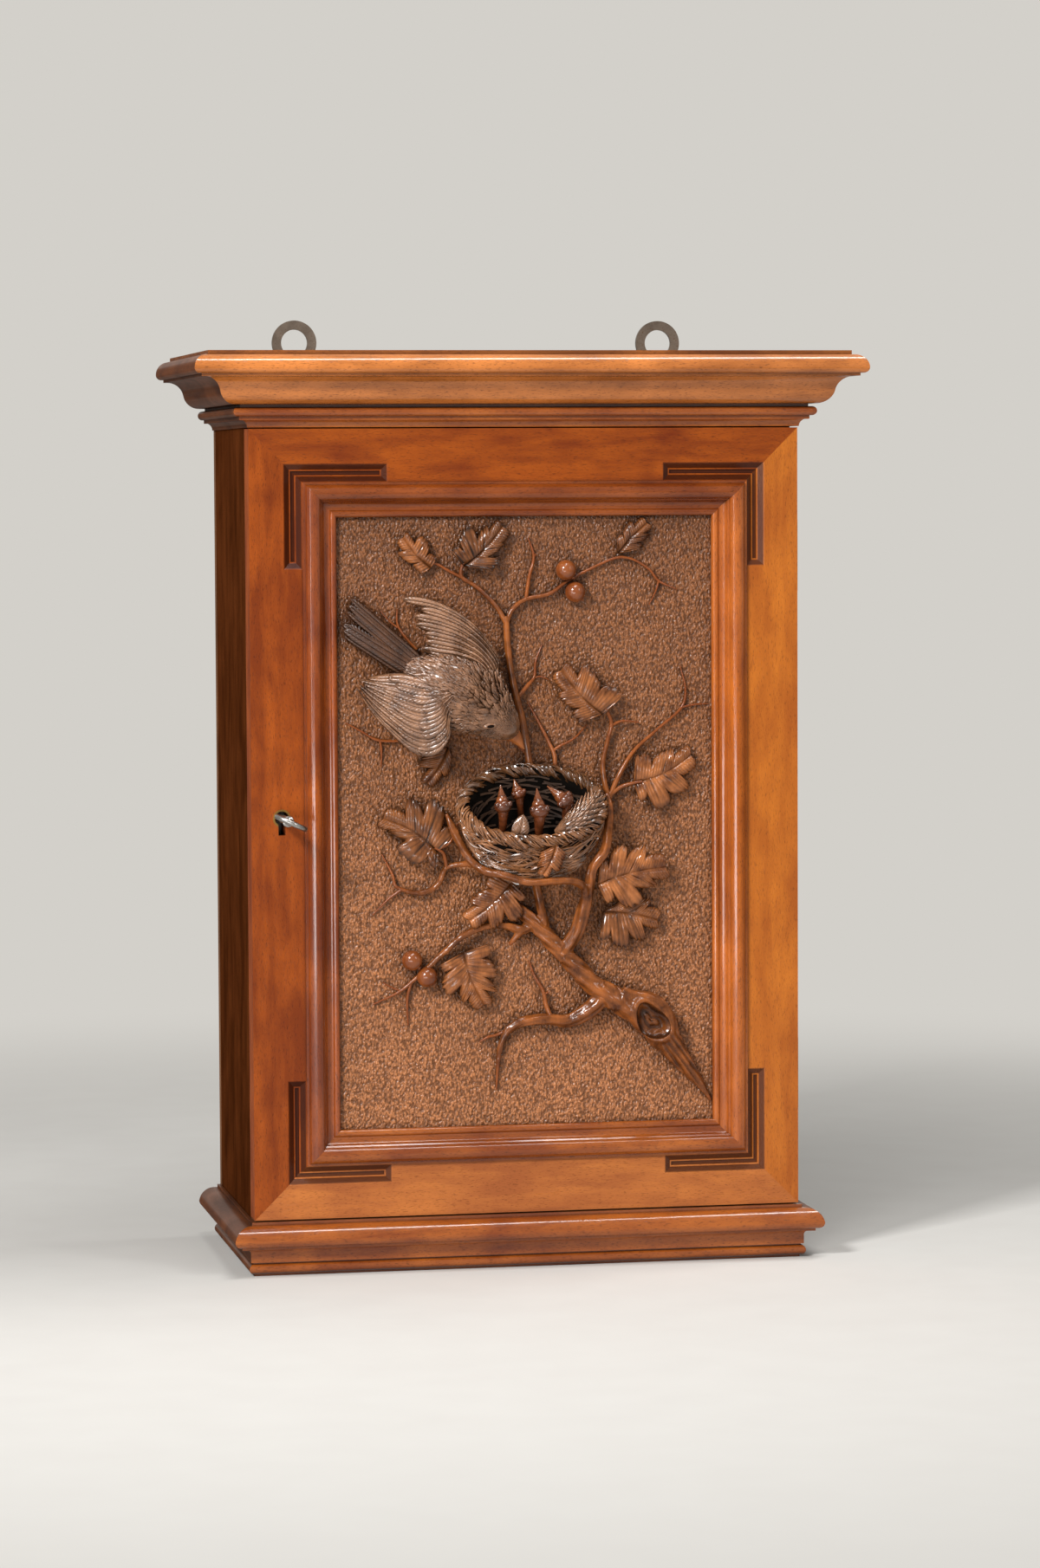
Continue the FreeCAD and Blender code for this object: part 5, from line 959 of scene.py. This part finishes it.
def longFeather(centre, aside, half, rise, lean):
    # a strip with a raised middle, a rounded end and gouged sides
    n = len(centre)
    t = np.linspace(0, 1, n)
    shape = np.minimum(1, (t / 0.10 + 0.25))
    shape *= np.sqrt(np.clip(1 - np.maximum(0, (t - 0.84) / 0.16) ** 2, 0.01, 1))
    length = runLength(centre)
    xs = np.array([-1, -0.6, -0.12, 0, 0.12, 0.6, 1, 0.5, -0.5])
    zs = np.array([0, 0.8, 1.0, 0.55, 1.0, 0.8, 0, -1.0, -1.0])
    rings, barbs, cuts = [], [], []
    for k in range(n):
        ring = centre[k] + np.outer(xs * half[k] * shape[k], aside[k])
        ring[:, 2] += rise * zs * (0.4 + 0.6 * shape[k]) + lean * xs
        rings.append(ring)
        barbs.append([(x * half[k], length[k], 0.55) for x in xs])
        # painted shade along the sides, in the middle groove and under the strip
        cuts.append([0.55 if abs(x) == 1 else 0.45 if x == 0 else 0.9 if z < 0 else 0.0
                     for x, z in zip(xs, zs)])
    return loft(rings, barbs, cuts)


def wingSkins(wing, build):
    lead, trail = (smoothPath(wing[edge], build["wingFine"]) for edge in ("lead", "trail"))
    grid = np.linspace(0, 1, build["wingFine"])

    def spot(s, t):
        s, t = np.broadcast_arrays(np.asarray(s, float), np.asarray(t, float))
        a, b = (np.stack([np.interp(s, grid, edge[:, q]) for q in range(3)], -1) for edge in (lead, trail))
        p = a * (1 - t[..., None]) + b * t[..., None]
        p[..., 2] += wing["crown"] * np.sin(math.pi * np.clip(t, 0, 1)) ** 0.6 * (1 - 0.4 * s)
        return p

    cross = np.linspace(0.03, 0.97, build["wingAcross"])
    rings = []
    for s in np.linspace(0, 0.84, build["wingRows"]):
        low = spot(s, cross[::-1] * 0.92 + 0.04)
        low[:, 2] -= wing["thick"]
        rings.append(np.vstack([spot(s, cross), low]) - [0, 0, 0.9])
    # painted shade: the slab under the feathers is darkened
    skins = [loft(rings, cut=[[0.7] * len(rings[0])] * len(rings))]
    for start, stop, count, lift in wing["tiers"]:  # long feathers, then rows over their roots
        for k in range(count):
            t = (k + 0.5) / count
            s = np.linspace(start, stop - 0.045 * ((k * 5) % 3) - 0.03 * (k % 2), build["quillRows"])
            centre = spot(s, t)
            centre[:, 2] += lift
            beside = unit(spot(s, min(t + 0.04, 1)) - spot(s, max(t - 0.04, 0)))
            chord = np.linalg.norm(spot(s, 0.98) - spot(s, 0.02), axis=-1)
            skins.append(longFeather(centre, beside, 0.60 * chord / count + 0.2, wing["ridge"], -0.7))
    return skins


def birdBody(build):
    # the body's skin, and a place for every feather that lies on it
    rows, around = build["bodyRows"], build["bodyRound"]
    spine = smoothPath(bird["spine"], rows)
    way = unit(np.gradient(spine[:, :3], axis=0))
    aside = unit(np.cross([0, 0, 1.0], way))
    lift = np.cross(way, aside)

    def skinPoint(k, angle):
        return (spine[k, :3] + spine[k, 3] * np.cos(angle)[..., None] * aside[k]
                + spine[k, 4] * np.sin(angle)[..., None] * lift[k])

    rings = [skinPoint(k, circle(around)) for k in range(rows)]
    for ring in rings:
        ring[:, 2] = np.maximum(ring[:, 2], underGround)
    dice = np.random.default_rng(build["seed"])
    length = runLength(spine)
    first, sweep = (math.radians(a) for a in build["sweep"])
    places = []
    at, row = 5.0, 0
    while at < length[-1] - 5.5:
        k = int(np.searchsorted(length, at))
        half, depth = spine[k, 3], spine[k, 4]
        head = min(1.0, max(0.0, (at / length[-1] - build["headFrom"]) / 0.12))
        size = (build["featherSize"] + build["featherShare"] * min(half, 15)) * (1 - build["headFine"] * head)
        many = max(5, int(math.pi * 0.5 * (half + depth) / (build["besideStep"] * size)))
        for q in range(many + 1):
            angle = np.array(first + (q + 0.5 * (row % 2) + dice.uniform(-0.35, 0.35)) / many * sweep)
            p = skinPoint(k, angle)
            back = unit(skinPoint(k - 2, angle) - p)
            out = np.cross(back, unit(skinPoint(k, angle + 0.05) - skinPoint(k, angle - 0.05)))
            out = unit(out if out @ (p - spine[k, :3]) > 0 else -out)
            if p[2] > 0.5 and np.linalg.norm(p[:2] - bird["eye"][:2]) > build["eyeClear"]:
                sway = dice.uniform(-0.5, 0.5)
                nape = max(0.0, 1 - abs(at - build["napeAt"] * length[-1]) / build["napeReach"])
                nape *= p[1] > spine[k, 1]
                stand = 0.06 + 0.34 * nape  # the nape is ruffled
                flow = math.cos(sway) * back + math.sin(sway) * np.cross(out, back)
                places.append((p - 0.2 * out, unit(out - stand * flow), unit(flow + stand * out),
                               size * dice.uniform(0.8, 1.2) * (1 + 0.5 * nape)))
        at += build["rowStep"] * size
        row += 1
    # the skin between the feathers is painted a little dark as shade
    return loft(rings, cut=[[0.2] * around] * rows), places


def tailSkins(tail, rows):
    skins = []
    for feather in tail:
        root, tip = np.array(feather["root"], float), np.array(feather["tip"], float)
        t = np.linspace(0, 1, rows)[:, None]
        centre = root * (1 - t) + tip * t + np.array([0, 0, 1.6]) * np.sin(math.pi * t)
        flat = unit(np.array([[tip[1] - root[1], root[0] - tip[0], 0]]))
        half = feather["half"][0] * (1 - t[:, 0]) + feather["half"][1] * t[:, 0]
        skins.append((*longFeather(centre, np.repeat(flat, rows, 0), half, 1.2, -0.3), tailWood))
        under = smoothPath([(*(root - [0, 0, 3.5]), 2.2), (*(0.5 * (root + tip) - [0, 0, 3.0]), 2.2),
                            (*(tip - [0, 0, 2.6]), 1.6)], 20)
        skins.append((*tube(under, 10), tailWood))
    return skins


def faceSkins(build):
    skins = [(*tube(smoothPath(bird["beak"], 18), 16, 0.85), beakWood)]
    x, up, out, radius = bird["eye"]
    for swell, bulge, drop, paint in ((1.7, 0.5, 0.0, featherWood), (1.1, 1.0, 0.2, nestHollow)):  # lid, then the eye painted near black as the shade in its slit
        axes = np.array([(1.4, 0.16, 0), (0, 0, bulge), (0, 0.62, 0)])
        eye = ball(np.array([x, up - drop, out - 0.5]), axes, [radius * swell] * 3, rows=9,
                   around=build["bodyRound"])
        skins.append((*eye, paint))
    return skins


body, places = birdBody(birdBuild)
birdSkins = [body, *wingSkins(bird["upperWing"], birdBuild), *wingSkins(bird["lowerWing"], birdBuild),
             *tailSkins(bird["tail"], birdBuild["tailRows"]), *faceSkins(birdBuild),
             skinOf(growFeathers("birdFeathers", places, featherWood, birdBuild["seed"]), featherWood)]
birdPiece = makePiece("carvedBird", birdSkins, featherWood, 95)
print("bird:", len(places), "feathers,", len(birdPiece.data.polygons), "faces")


# nest

nest = {"middle": (0.5, 10.5, 18.0), "rim": (43.0, 21.0, 11.5), "bottom": (0.0, -41.0, -6.0), "around": 72,
        "outerRows": 18, "innerRows": 16, "innerShare": 0.86, "rope": 3.0, "ropeShare": 0.97,
        "ropeStrands": 17, "ropeRows": 210, "wisps": 120, "wispRows": 14, "strands": 560, "strandRows": 16,
        "inner": 90, "sunk": -0.6, "shaded": (12, 24), "seed": 5}


def bowlPoint(turn, deep, share=1.0):
    # a point on the bowl: round the rim, then down from the rim to the bottom
    turn, deep = np.broadcast_arrays(np.asarray(turn, float), np.asarray(deep, float))
    wide, tall, tilt = nest["rim"]
    rim = np.stack([wide * np.cos(turn), tall * np.sin(turn), -tilt * np.sin(turn)], -1)
    fall = deep[..., None] * math.pi / 2
    p = np.array(nest["middle"]) + share * (rim * np.cos(fall) + np.array(nest["bottom"]) * np.sin(fall))
    p[..., 2] = np.maximum(p[..., 2], nest["sunk"])
    return p


def bowlOut(turn, deep):
    a = bowlPoint(turn + 0.02, deep) - bowlPoint(turn - 0.02, deep)
    b = bowlPoint(turn, np.minimum(deep + 0.02, 1)) - bowlPoint(turn, np.maximum(deep - 0.02, 0))
    return unit(np.cross(b, a))


def nestShellSkin():
    turn = circle(nest["around"])
    rings = [bowlPoint(turn, d) for d in np.linspace(0.97, 0, nest["outerRows"])]
    rings += [bowlPoint(turn, d, nest["innerShare"]) for d in np.linspace(0.0, 0.97, nest["innerRows"])]
    # painted shade: the bowl under the strands is darkened, and its inside darker still
    cuts = [[0.8] * nest["around"]] * nest["outerRows"] + [[1.0] * nest["around"]] * nest["innerRows"]
    return (*loft(rings, cut=cuts), nestHollow)


def rimFrame(turn, deep):
    # points on the rim, with the two ways across its rope
    base = bowlPoint(turn, 0.0, nest["ropeShare"])
    out = bowlOut(turn, np.full(len(turn), deep))
    return base, out, np.cross(unit(np.gradient(base, axis=0)), out)


def nestRuns():
    # paths of the strands that show, and of those inside
    dice = np.random.default_rng(nest["seed"])
    full = 2 * math.pi
    paths, shade = [], []
    t = np.linspace(0, full, nest["ropeRows"])
    base, out, third = rimFrame(t, 0.06)
    for k in range(nest["ropeStrands"]):  # the rim is a loose rope of uneven strands
        spin = int(dice.integers(10, 15)) * t + full * k / nest["ropeStrands"] + 0.5 * np.sin(3 * t + k)
        rope = nest["rope"] * (dice.uniform(0.55, 1.1) + 0.22 * np.sin(int(dice.integers(3, 8)) * t + k))
        p = base + rope[:, None] * (np.cos(spin)[:, None] * out + np.sin(spin)[:, None] * third)
        paths.append(np.column_stack([p, dice.uniform(0.55, 0.95) * (1 + 0.2 * np.sin(9 * t + k))]))
    q = np.linspace(0, 1, nest["wispRows"])
    for _ in range(nest["wisps"]):  # loose ends laid over the rim
        t0 = dice.uniform(0, full)
        t = t0 + dice.uniform(0.15, 0.4) * q
        base, out, third = rimFrame(t, 0.05)
        swing = (dice.uniform(-2.2, 0.4) + dice.uniform(1.6, 3.2) * q)[:, None]
        p = base + (nest["rope"] + 0.9) * (np.cos(swing) * out + np.sin(swing) * third)
        paths.append(np.column_stack([p, dice.uniform(0.5, 0.9) * (0.3 + 0.7 * np.sin(math.pi * q))]))
    fine = np.linspace(0, 1, nest["strandRows"])
    for k in range(nest["strands"]):  # the woven outside
        t0, d0 = dice.uniform(-math.pi * 1.12, math.pi * 0.12), dice.uniform(0.04, 0.86)
        sweep, drop = dice.uniform(0.35, 0.95) * dice.choice([-1, 1]), dice.uniform(-0.22, 0.26)
        t, deep = t0 + sweep * fine, np.clip(d0 + drop * fine + 0.03 * np.sin(5 * fine + k), 0.02, 0.97)
        lift = dice.uniform(0.1, 1.2)
        bulge = np.sin(math.pi * np.clip(fine, 0.06, 0.94))[:, None]
        p = bowlPoint(t, deep) + lift * bowlOut(t, deep) * bulge
        paths.append(np.column_stack([p, dice.uniform(0.4, 0.85) * (0.35 + 0.65 * np.sin(math.pi * fine))]))
    # strands inside the bowl, painted darker as shade
    for _ in range(nest["inner"]):
        t0, d0 = dice.uniform(0, full), dice.uniform(0.02, 0.5)
        t, deep = t0 + dice.uniform(0.3, 0.8) * q, np.clip(d0 + dice.uniform(-0.1, 0.12) * q, 0.02, 0.9)
        shade.append(np.column_stack([bowlPoint(t, deep, 0.85), np.full(len(q), dice.uniform(0.5, 0.9))]))
    return paths, shade


nestPaths, shadePaths = nestRuns()
strandSkin = skinOf(growStems("strands", nestPaths, nestWood, 5, 0.2, 1.5), nestWood)
shadeLow, shadeHigh = nest["shaded"]
shaded = (strandSkin[0][:, 1] - shadeLow) / (shadeHigh - shadeLow)
strandSkin[3][:] = 0.6 * np.clip(shaded, 0, 1)  # painted shade: the far rim is darkened
shadeSkin = skinOf(growStems("shade", shadePaths, nestShade, 5, 0.2, 1.5), nestShade)
nestPiece = makePiece("carvedNest", [nestShellSkin(), strandSkin, shadeSkin], nestWood, 60)
print("nest:", len(nestPiece.data.polygons), "faces")


# nestlings: a thin neck from its foot to the face, then a beak to its tip, (across, up, out) in mm

chicks = [
    {"foot": (-17, -12, 12), "face": (-18.2, 10.6, 22.5), "tip": (-19.2, 23.2, 20.5), "size": 0.95},
    {"foot": (4, -16, 14), "face": (3.1, 7.6, 25), "tip": (2.2, 21.0, 22.6), "size": 1.05},
    {"foot": (22, -10, 10), "face": (19.8, 13.4, 20), "tip": (9.2, 22.0, 18.4), "size": 1.0},
    {"foot": (-4, 2, 5), "face": (-6.4, 17.0, 10), "tip": (-9.0, 25.8, 9.4), "size": 0.8},
]
chickCut = {"neck": (2.8, 2.5, 3.6), "head": (5.5, 4.6, 5.2), "beakBase": (3.0, 2.6), "beakAt": 2.9,
            "eyeAt": (4.0, 1.0, 2.9), "eye": 1.9, "pupil": 0.7, "pupilAt": 1.4, "neckRows": 22,
            "neckRound": 18}


def chickSkins(chick, sizes):
    foot, face, tip = (np.array(chick[key], float) for key in ("foot", "face", "tip"))
    size, around = chick["size"], sizes["neckRound"]
    up = unit(tip - face)
    level = unit(np.cross(up, [0, 0, 1.0]))
    axes = (level, up, np.cross(level, up))
    bend = 0.5 * (foot + face) + [0, 0, 1.5]
    stations = zip((foot, bend, face - 2.0 * up), sizes["neck"])
    neck = tube(smoothPath([(*spot, size * radius) for spot, radius in stations], sizes["neckRows"]), around)
    for k in range(3, 20, 3):  # painted shade in the creases of the neck
        neck[3][around * k:around * (k + 1)] = 0.25
    skins = [neck, ball(face, axes, size * np.array(sizes["head"]))]
    turn = circle(20)
    start = face + sizes["beakAt"] * size * up
    rings, cuts = [], []
    for t in np.linspace(0, 1, 16):  # the beak, with a swollen soft edge at its root
        swell = size * ((1 - t) ** 1.15 * 1.25 + 0.10 * math.exp(-((t - 0.2) / 0.08) ** 2)) + 0.12
        ring = (np.outer(np.cos(turn) * sizes["beakBase"][0], level)
                + np.outer(np.sin(turn) * sizes["beakBase"][1], axes[2]))
        rings.append(start + t * (tip - start) + swell * ring)
        line = np.where(np.abs(np.sin(turn - 0.5)) < 0.2, 0.9, 0.0)  # painted shade along the mouth
        # painted shade in a crease near the beak's root
        cuts.append(np.maximum(line, 0.6 if 0.3 < t < 0.4 else 0.0))
    skins.append((*loft(rings, cut=cuts), billWood))
    for side in (-1, 1):  # bulging eyes, their pupils painted near black as shade
        across, along, outward = np.array(sizes["eyeAt"]) * size
        eye = face + side * across * level + along * up + outward * axes[2]
        gaze = unit(0.75 * side * level + 0.1 * up + 0.7 * axes[2])
        skins.append(ball(eye, axes, np.full(3, sizes["eye"] * size), 0.1))
        pupil = ball(eye + sizes["pupilAt"] * size * gaze, axes, np.full(3, sizes["pupil"] * size))
        skins.append((*pupil, nestHollow))
    return skins


down = {"run": [(14, -6, 21, 2.5), (20, -3, 23, 6.0), (28, 2, 22, 7.4), (35, 8, 18.5, 6.0),
                (39, 13, 15, 2.5)], "rows": 30, "feather": 5.6, "across": 8, "stand": 0.3, "seed": 3,
        "tuft": [(-10, -10, 23), (-8.5, -3, 26), (-6.5, 6, 25.5)], "tuftRows": 24, "tuftHalf": 5.2}
downRun = smoothPath(down["run"], down["rows"])
downWay = unit(np.gradient(downRun[:, :3], axis=0))
downSide = unit(np.cross(downWay, [0, 0, 1.0]))
downPlaces = []
for row, k in enumerate(range(2, down["rows"] - 2, 2)):
    for q in range(down["across"]):
        angle = math.radians(8 + 24 * q + 12 * (row % 2))
        out = math.cos(angle) * downSide[k] + math.sin(angle) * np.cross(downSide[k], downWay[k])
        out = out if out[2] > -0.4 else -out
        downPlaces.append((downRun[k, :3] + 0.96 * downRun[k, 3] * out,
                           unit(out - down["stand"] * downWay[k]), unit(downWay[k] + down["stand"] * out),
                           down["feather"]))
tuft = longFeather(smoothPath(down["tuft"], down["tuftRows"]),
                   np.repeat([[0.95, -0.2, 0.2]], down["tuftRows"], 0),
                   down["tuftHalf"] * np.sin(np.linspace(0.5, 2.9, down["tuftRows"])), 1.0, 0.0)
chickList = [skin for chick in chicks for skin in chickSkins(chick, chickCut)]
chickList += [(*tube(downRun, 18), featherWood), (*tuft, featherWood)]
chickList.append(skinOf(growFeathers("downFeathers", downPlaces, featherWood, down["seed"]), featherWood))
chickPiece = makePiece("carvedNestlings", chickList, chickWood, 60)
print("nestlings:", len(chickPiece.data.polygons), "faces")

bpy.data.objects.remove(quill)
for piece, node, slot in ((branch, "branch", "carved_wood"), (leafPiece, "leaves", "carved_wood"),
                          (berries, "berries", "carved_wood"), (chickPiece, "nestlings", "carved_wood"),
                          (birdPiece, "bird", "dark_carved_wood"), (nestPiece, "nest", "dark_carved_wood")):
    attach(piece, "door")
    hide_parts("carved_" + node)


# key: a round bow, a turned collar, the shank and its bit

keySizes = {"bowWide": 21, "bowLong": 17, "wire": 1.6, "bitReach": 8, "bitThick": 2.2, "bitChamfer": 0.5,
            "rest": 25,  # degrees
            "turning": [(0, 1.6), (0.8, 2.4), (3.0, 2.4), (3.2, 2.9), (3.5, 2.9), (3.7, 2.5), (3.9, 3.1),
                        (4.5, 3.4), (5.1, 3.1), (5.3, 2.5), (5.6, 2.4)],  # along from the bow, radius
            "end": [(-0.6, 2.4), (0, 1.8)]}  # along from the tip, radius


def turnKey(sizes):
    low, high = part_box("key")
    boltLow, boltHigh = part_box("lock_bolt")
    axisX, axisZ = (low[0] + high[0]) / 2 / mm, (low[2] + high[2]) / 2 / mm
    front, tip, wireRadius = low[1] / mm, high[1] / mm, sizes["wire"]
    bowY = front + sizes["bowLong"] / 2
    wide, long = sizes["bowWide"] / 2 - wireRadius, sizes["bowLong"] / 2 - wireRadius
    rings = []
    turn = circle(14)
    for a in np.linspace(0, 2 * math.pi, 49):
        out = unit(np.array([math.cos(a) / wide, math.sin(a) / long]))
        rings.append(np.column_stack([wide * math.cos(a) + wireRadius * np.cos(turn) * out[0],
                                      bowY + long * math.sin(a) + wireRadius * np.cos(turn) * out[1],
                                      wireRadius * np.sin(turn)]))
    skins = [loft(rings)]
    profile = [(bowY + long + y, r) for y, r in sizes["turning"]] + [(tip + y, r) for y, r in sizes["end"]]
    spin = circle(24)
    skins.append(loft([np.column_stack([r * np.cos(spin), np.full(len(spin), y), r * np.sin(spin)])
                       for y, r in profile]))
    half, reach, chamfer = sizes["bitThick"] / 2, sizes["bitReach"], sizes["bitChamfer"]
    y0, y1 = boltLow[1] / mm, boltHigh[1] / mm
    steps = [(0.5, 0.0), (reach - chamfer, 0.0), (reach, chamfer)]
    skins.append(loft([[(x, y0 + c, -half + c), (x, y1 - c, -half + c), (x, y1 - c, half - c),
                        (x, y0 + c, half - c)] for x, c in steps]))
    a = math.radians(sizes["rest"])
    placed = []
    for verts, *rest in skins:
        x = axisX + verts[:, 0] * math.cos(a) + verts[:, 2] * math.sin(a)
        z = axisZ - verts[:, 0] * math.sin(a) + verts[:, 2] * math.cos(a)
        placed.append((np.column_stack([x, verts[:, 1], z]) * mm, *rest))
    return placed


keyPiece = makePiece("turnedKey", turnKey(keySizes), keySteel, 40, relief=False)
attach(keyPiece, "key")
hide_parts("key")
print("key made")


# room, light and camera

stage = {"radius": 9.0, "sides": 64, "fade": (0.35, 1.3), "fleck": 0.04,  # metres
         "pale": "#d3d0ca", "skyLight": 0.15}


def buildFloor():
    mesh = bpy.data.meshes.new("floor")
    turn, radius = circle(stage["sides"]), stage["radius"]
    mesh.from_pydata([(radius * math.cos(a), radius * math.sin(a), 0) for a in turn], [], [range(len(turn))])
    finish, tree, surface = newFinish("matt paper", Roughness=0.9, Specular_IOR_Level=0.1)  # even and dull
    place = addNode(tree, "TexCoord").outputs["Object"]
    fleck = addNode(tree, "TexNoise", {"Vector": place, "Scale": 1 / stage["fleck"], "Detail": 3.0})
    colour = addNode(tree, "Mix", {
        mixBy: fleck, mixFrom: tint("#d0cdc8"), mixTo: tint("#d6d4cf")}, data_type="RGBA")
    wire(tree, surface, {"Base Color": colour})
    away = addNode(tree, "VectorMath", {0: place}, operation="LENGTH")
    fade = addNode(tree, "MapRange", {
        "Value": away, "From": stage["fade"]}, interpolation_type="SMOOTHSTEP")
    seen = addNode(tree, "LightPath")
    share = addNode(tree, "Math", {0: fade, 1: seen.outputs["Is Camera Ray"]}, operation="MULTIPLY")
    glow = addNode(tree, "Emission", {"Color": tint(stage["pale"]), "Strength": 1.0})
    mixed = addNode(tree, "MixShader", {0: share, 1: surface, 2: glow})
    wire(tree, tree.nodes["Material Output"], {"Surface": mixed})
    mesh.materials.append(finish)
    floor = bpy.data.objects.new("floor", mesh)
    room.link(floor)


buildFloor()
lamps = {
    "keyLamp": {"at": (-1.5, -1.75, 1.6), "size": (0.42, 0.42), "watts": 61},
    "topLamp": {"at": (0.25, -0.42, 1.75), "size": (1.8, 0.2), "watts": 20},
    "leftLamp": {"at": (-1.75, -1.75, 0.5), "size": (0.09, 1.3), "watts": 8},
    "lowLamp": {"at": (-0.75, -1.8, 0.08), "size": (0.9, 0.25), "watts": 8},
    "rightLamp": {"at": (1.25, -1.75, 1.35), "size": (0.3, 0.5), "watts": 6},
}
aim = Vector((0, -0.15, 0.3))
for name, lamp in lamps.items():
    light = bpy.data.lights.new(name, "AREA")
    light.shape = "RECTANGLE"
    light.size, light.size_y = lamp["size"]
    light.energy = lamp["watts"]
    holder = bpy.data.objects.new(name, light)
    holder.location = lamp["at"]
    holder.rotation_euler = (aim - Vector(lamp["at"])).to_track_quat("-Z", "Y").to_euler()
    room.link(holder)

sky = bpy.data.worlds.new("softSky")
bpy.context.scene.world = sky
sky.use_nodes = True
skyTree = sky.node_tree
skyRay = addNode(skyTree, "LightPath")
skySeen = skyRay.outputs["Is Camera Ray"]
for ray in ("Is Glossy Ray", "Is Transmission Ray"):
    skySeen = addNode(skyTree, "Math", {0: skySeen, 1: skyRay.outputs[ray]}, operation="MAXIMUM")
skyLevel = addNode(skyTree, "MapRange", {"Value": skySeen, "To": (stage["skyLight"], 1.0)})
wire(skyTree, skyTree.nodes["Background"], {"Color": tint(stage["pale"]), "Strength": skyLevel})

view = {"at": (-0.5397, -2.9265, 0.4662), "yaw": 0.191, "pitch": -0.063, "roll": -0.005,  # metres and radians
        "sensor": 36, "pixelLens": 5500, "pixelHeight": 1810}
yaw, pitch = view["yaw"], view["pitch"]
ahead = Vector((math.sin(yaw) * math.cos(pitch), math.cos(yaw) * math.cos(pitch), math.sin(pitch)))
level = Vector((math.cos(yaw), -math.sin(yaw), 0))
over = level.cross(ahead)
right = math.cos(view["roll"]) * level + math.sin(view["roll"]) * over
top = -math.sin(view["roll"]) * level + math.cos(view["roll"]) * over
lens = bpy.data.cameras.new("view")
lens.lens = view["pixelLens"] / view["pixelHeight"] * view["sensor"]
lens.sensor_width, lens.sensor_fit = view["sensor"], "AUTO"
camera = bpy.data.objects.new("view", lens)
pose = Matrix((right, top, -ahead)).transposed().to_4x4()
pose.translation = view["at"]
camera.matrix_world = pose
room.link(camera)
bpy.context.scene.camera = camera
bpy.context.scene.view_settings.view_transform = "Standard"
print("room, light and camera set")
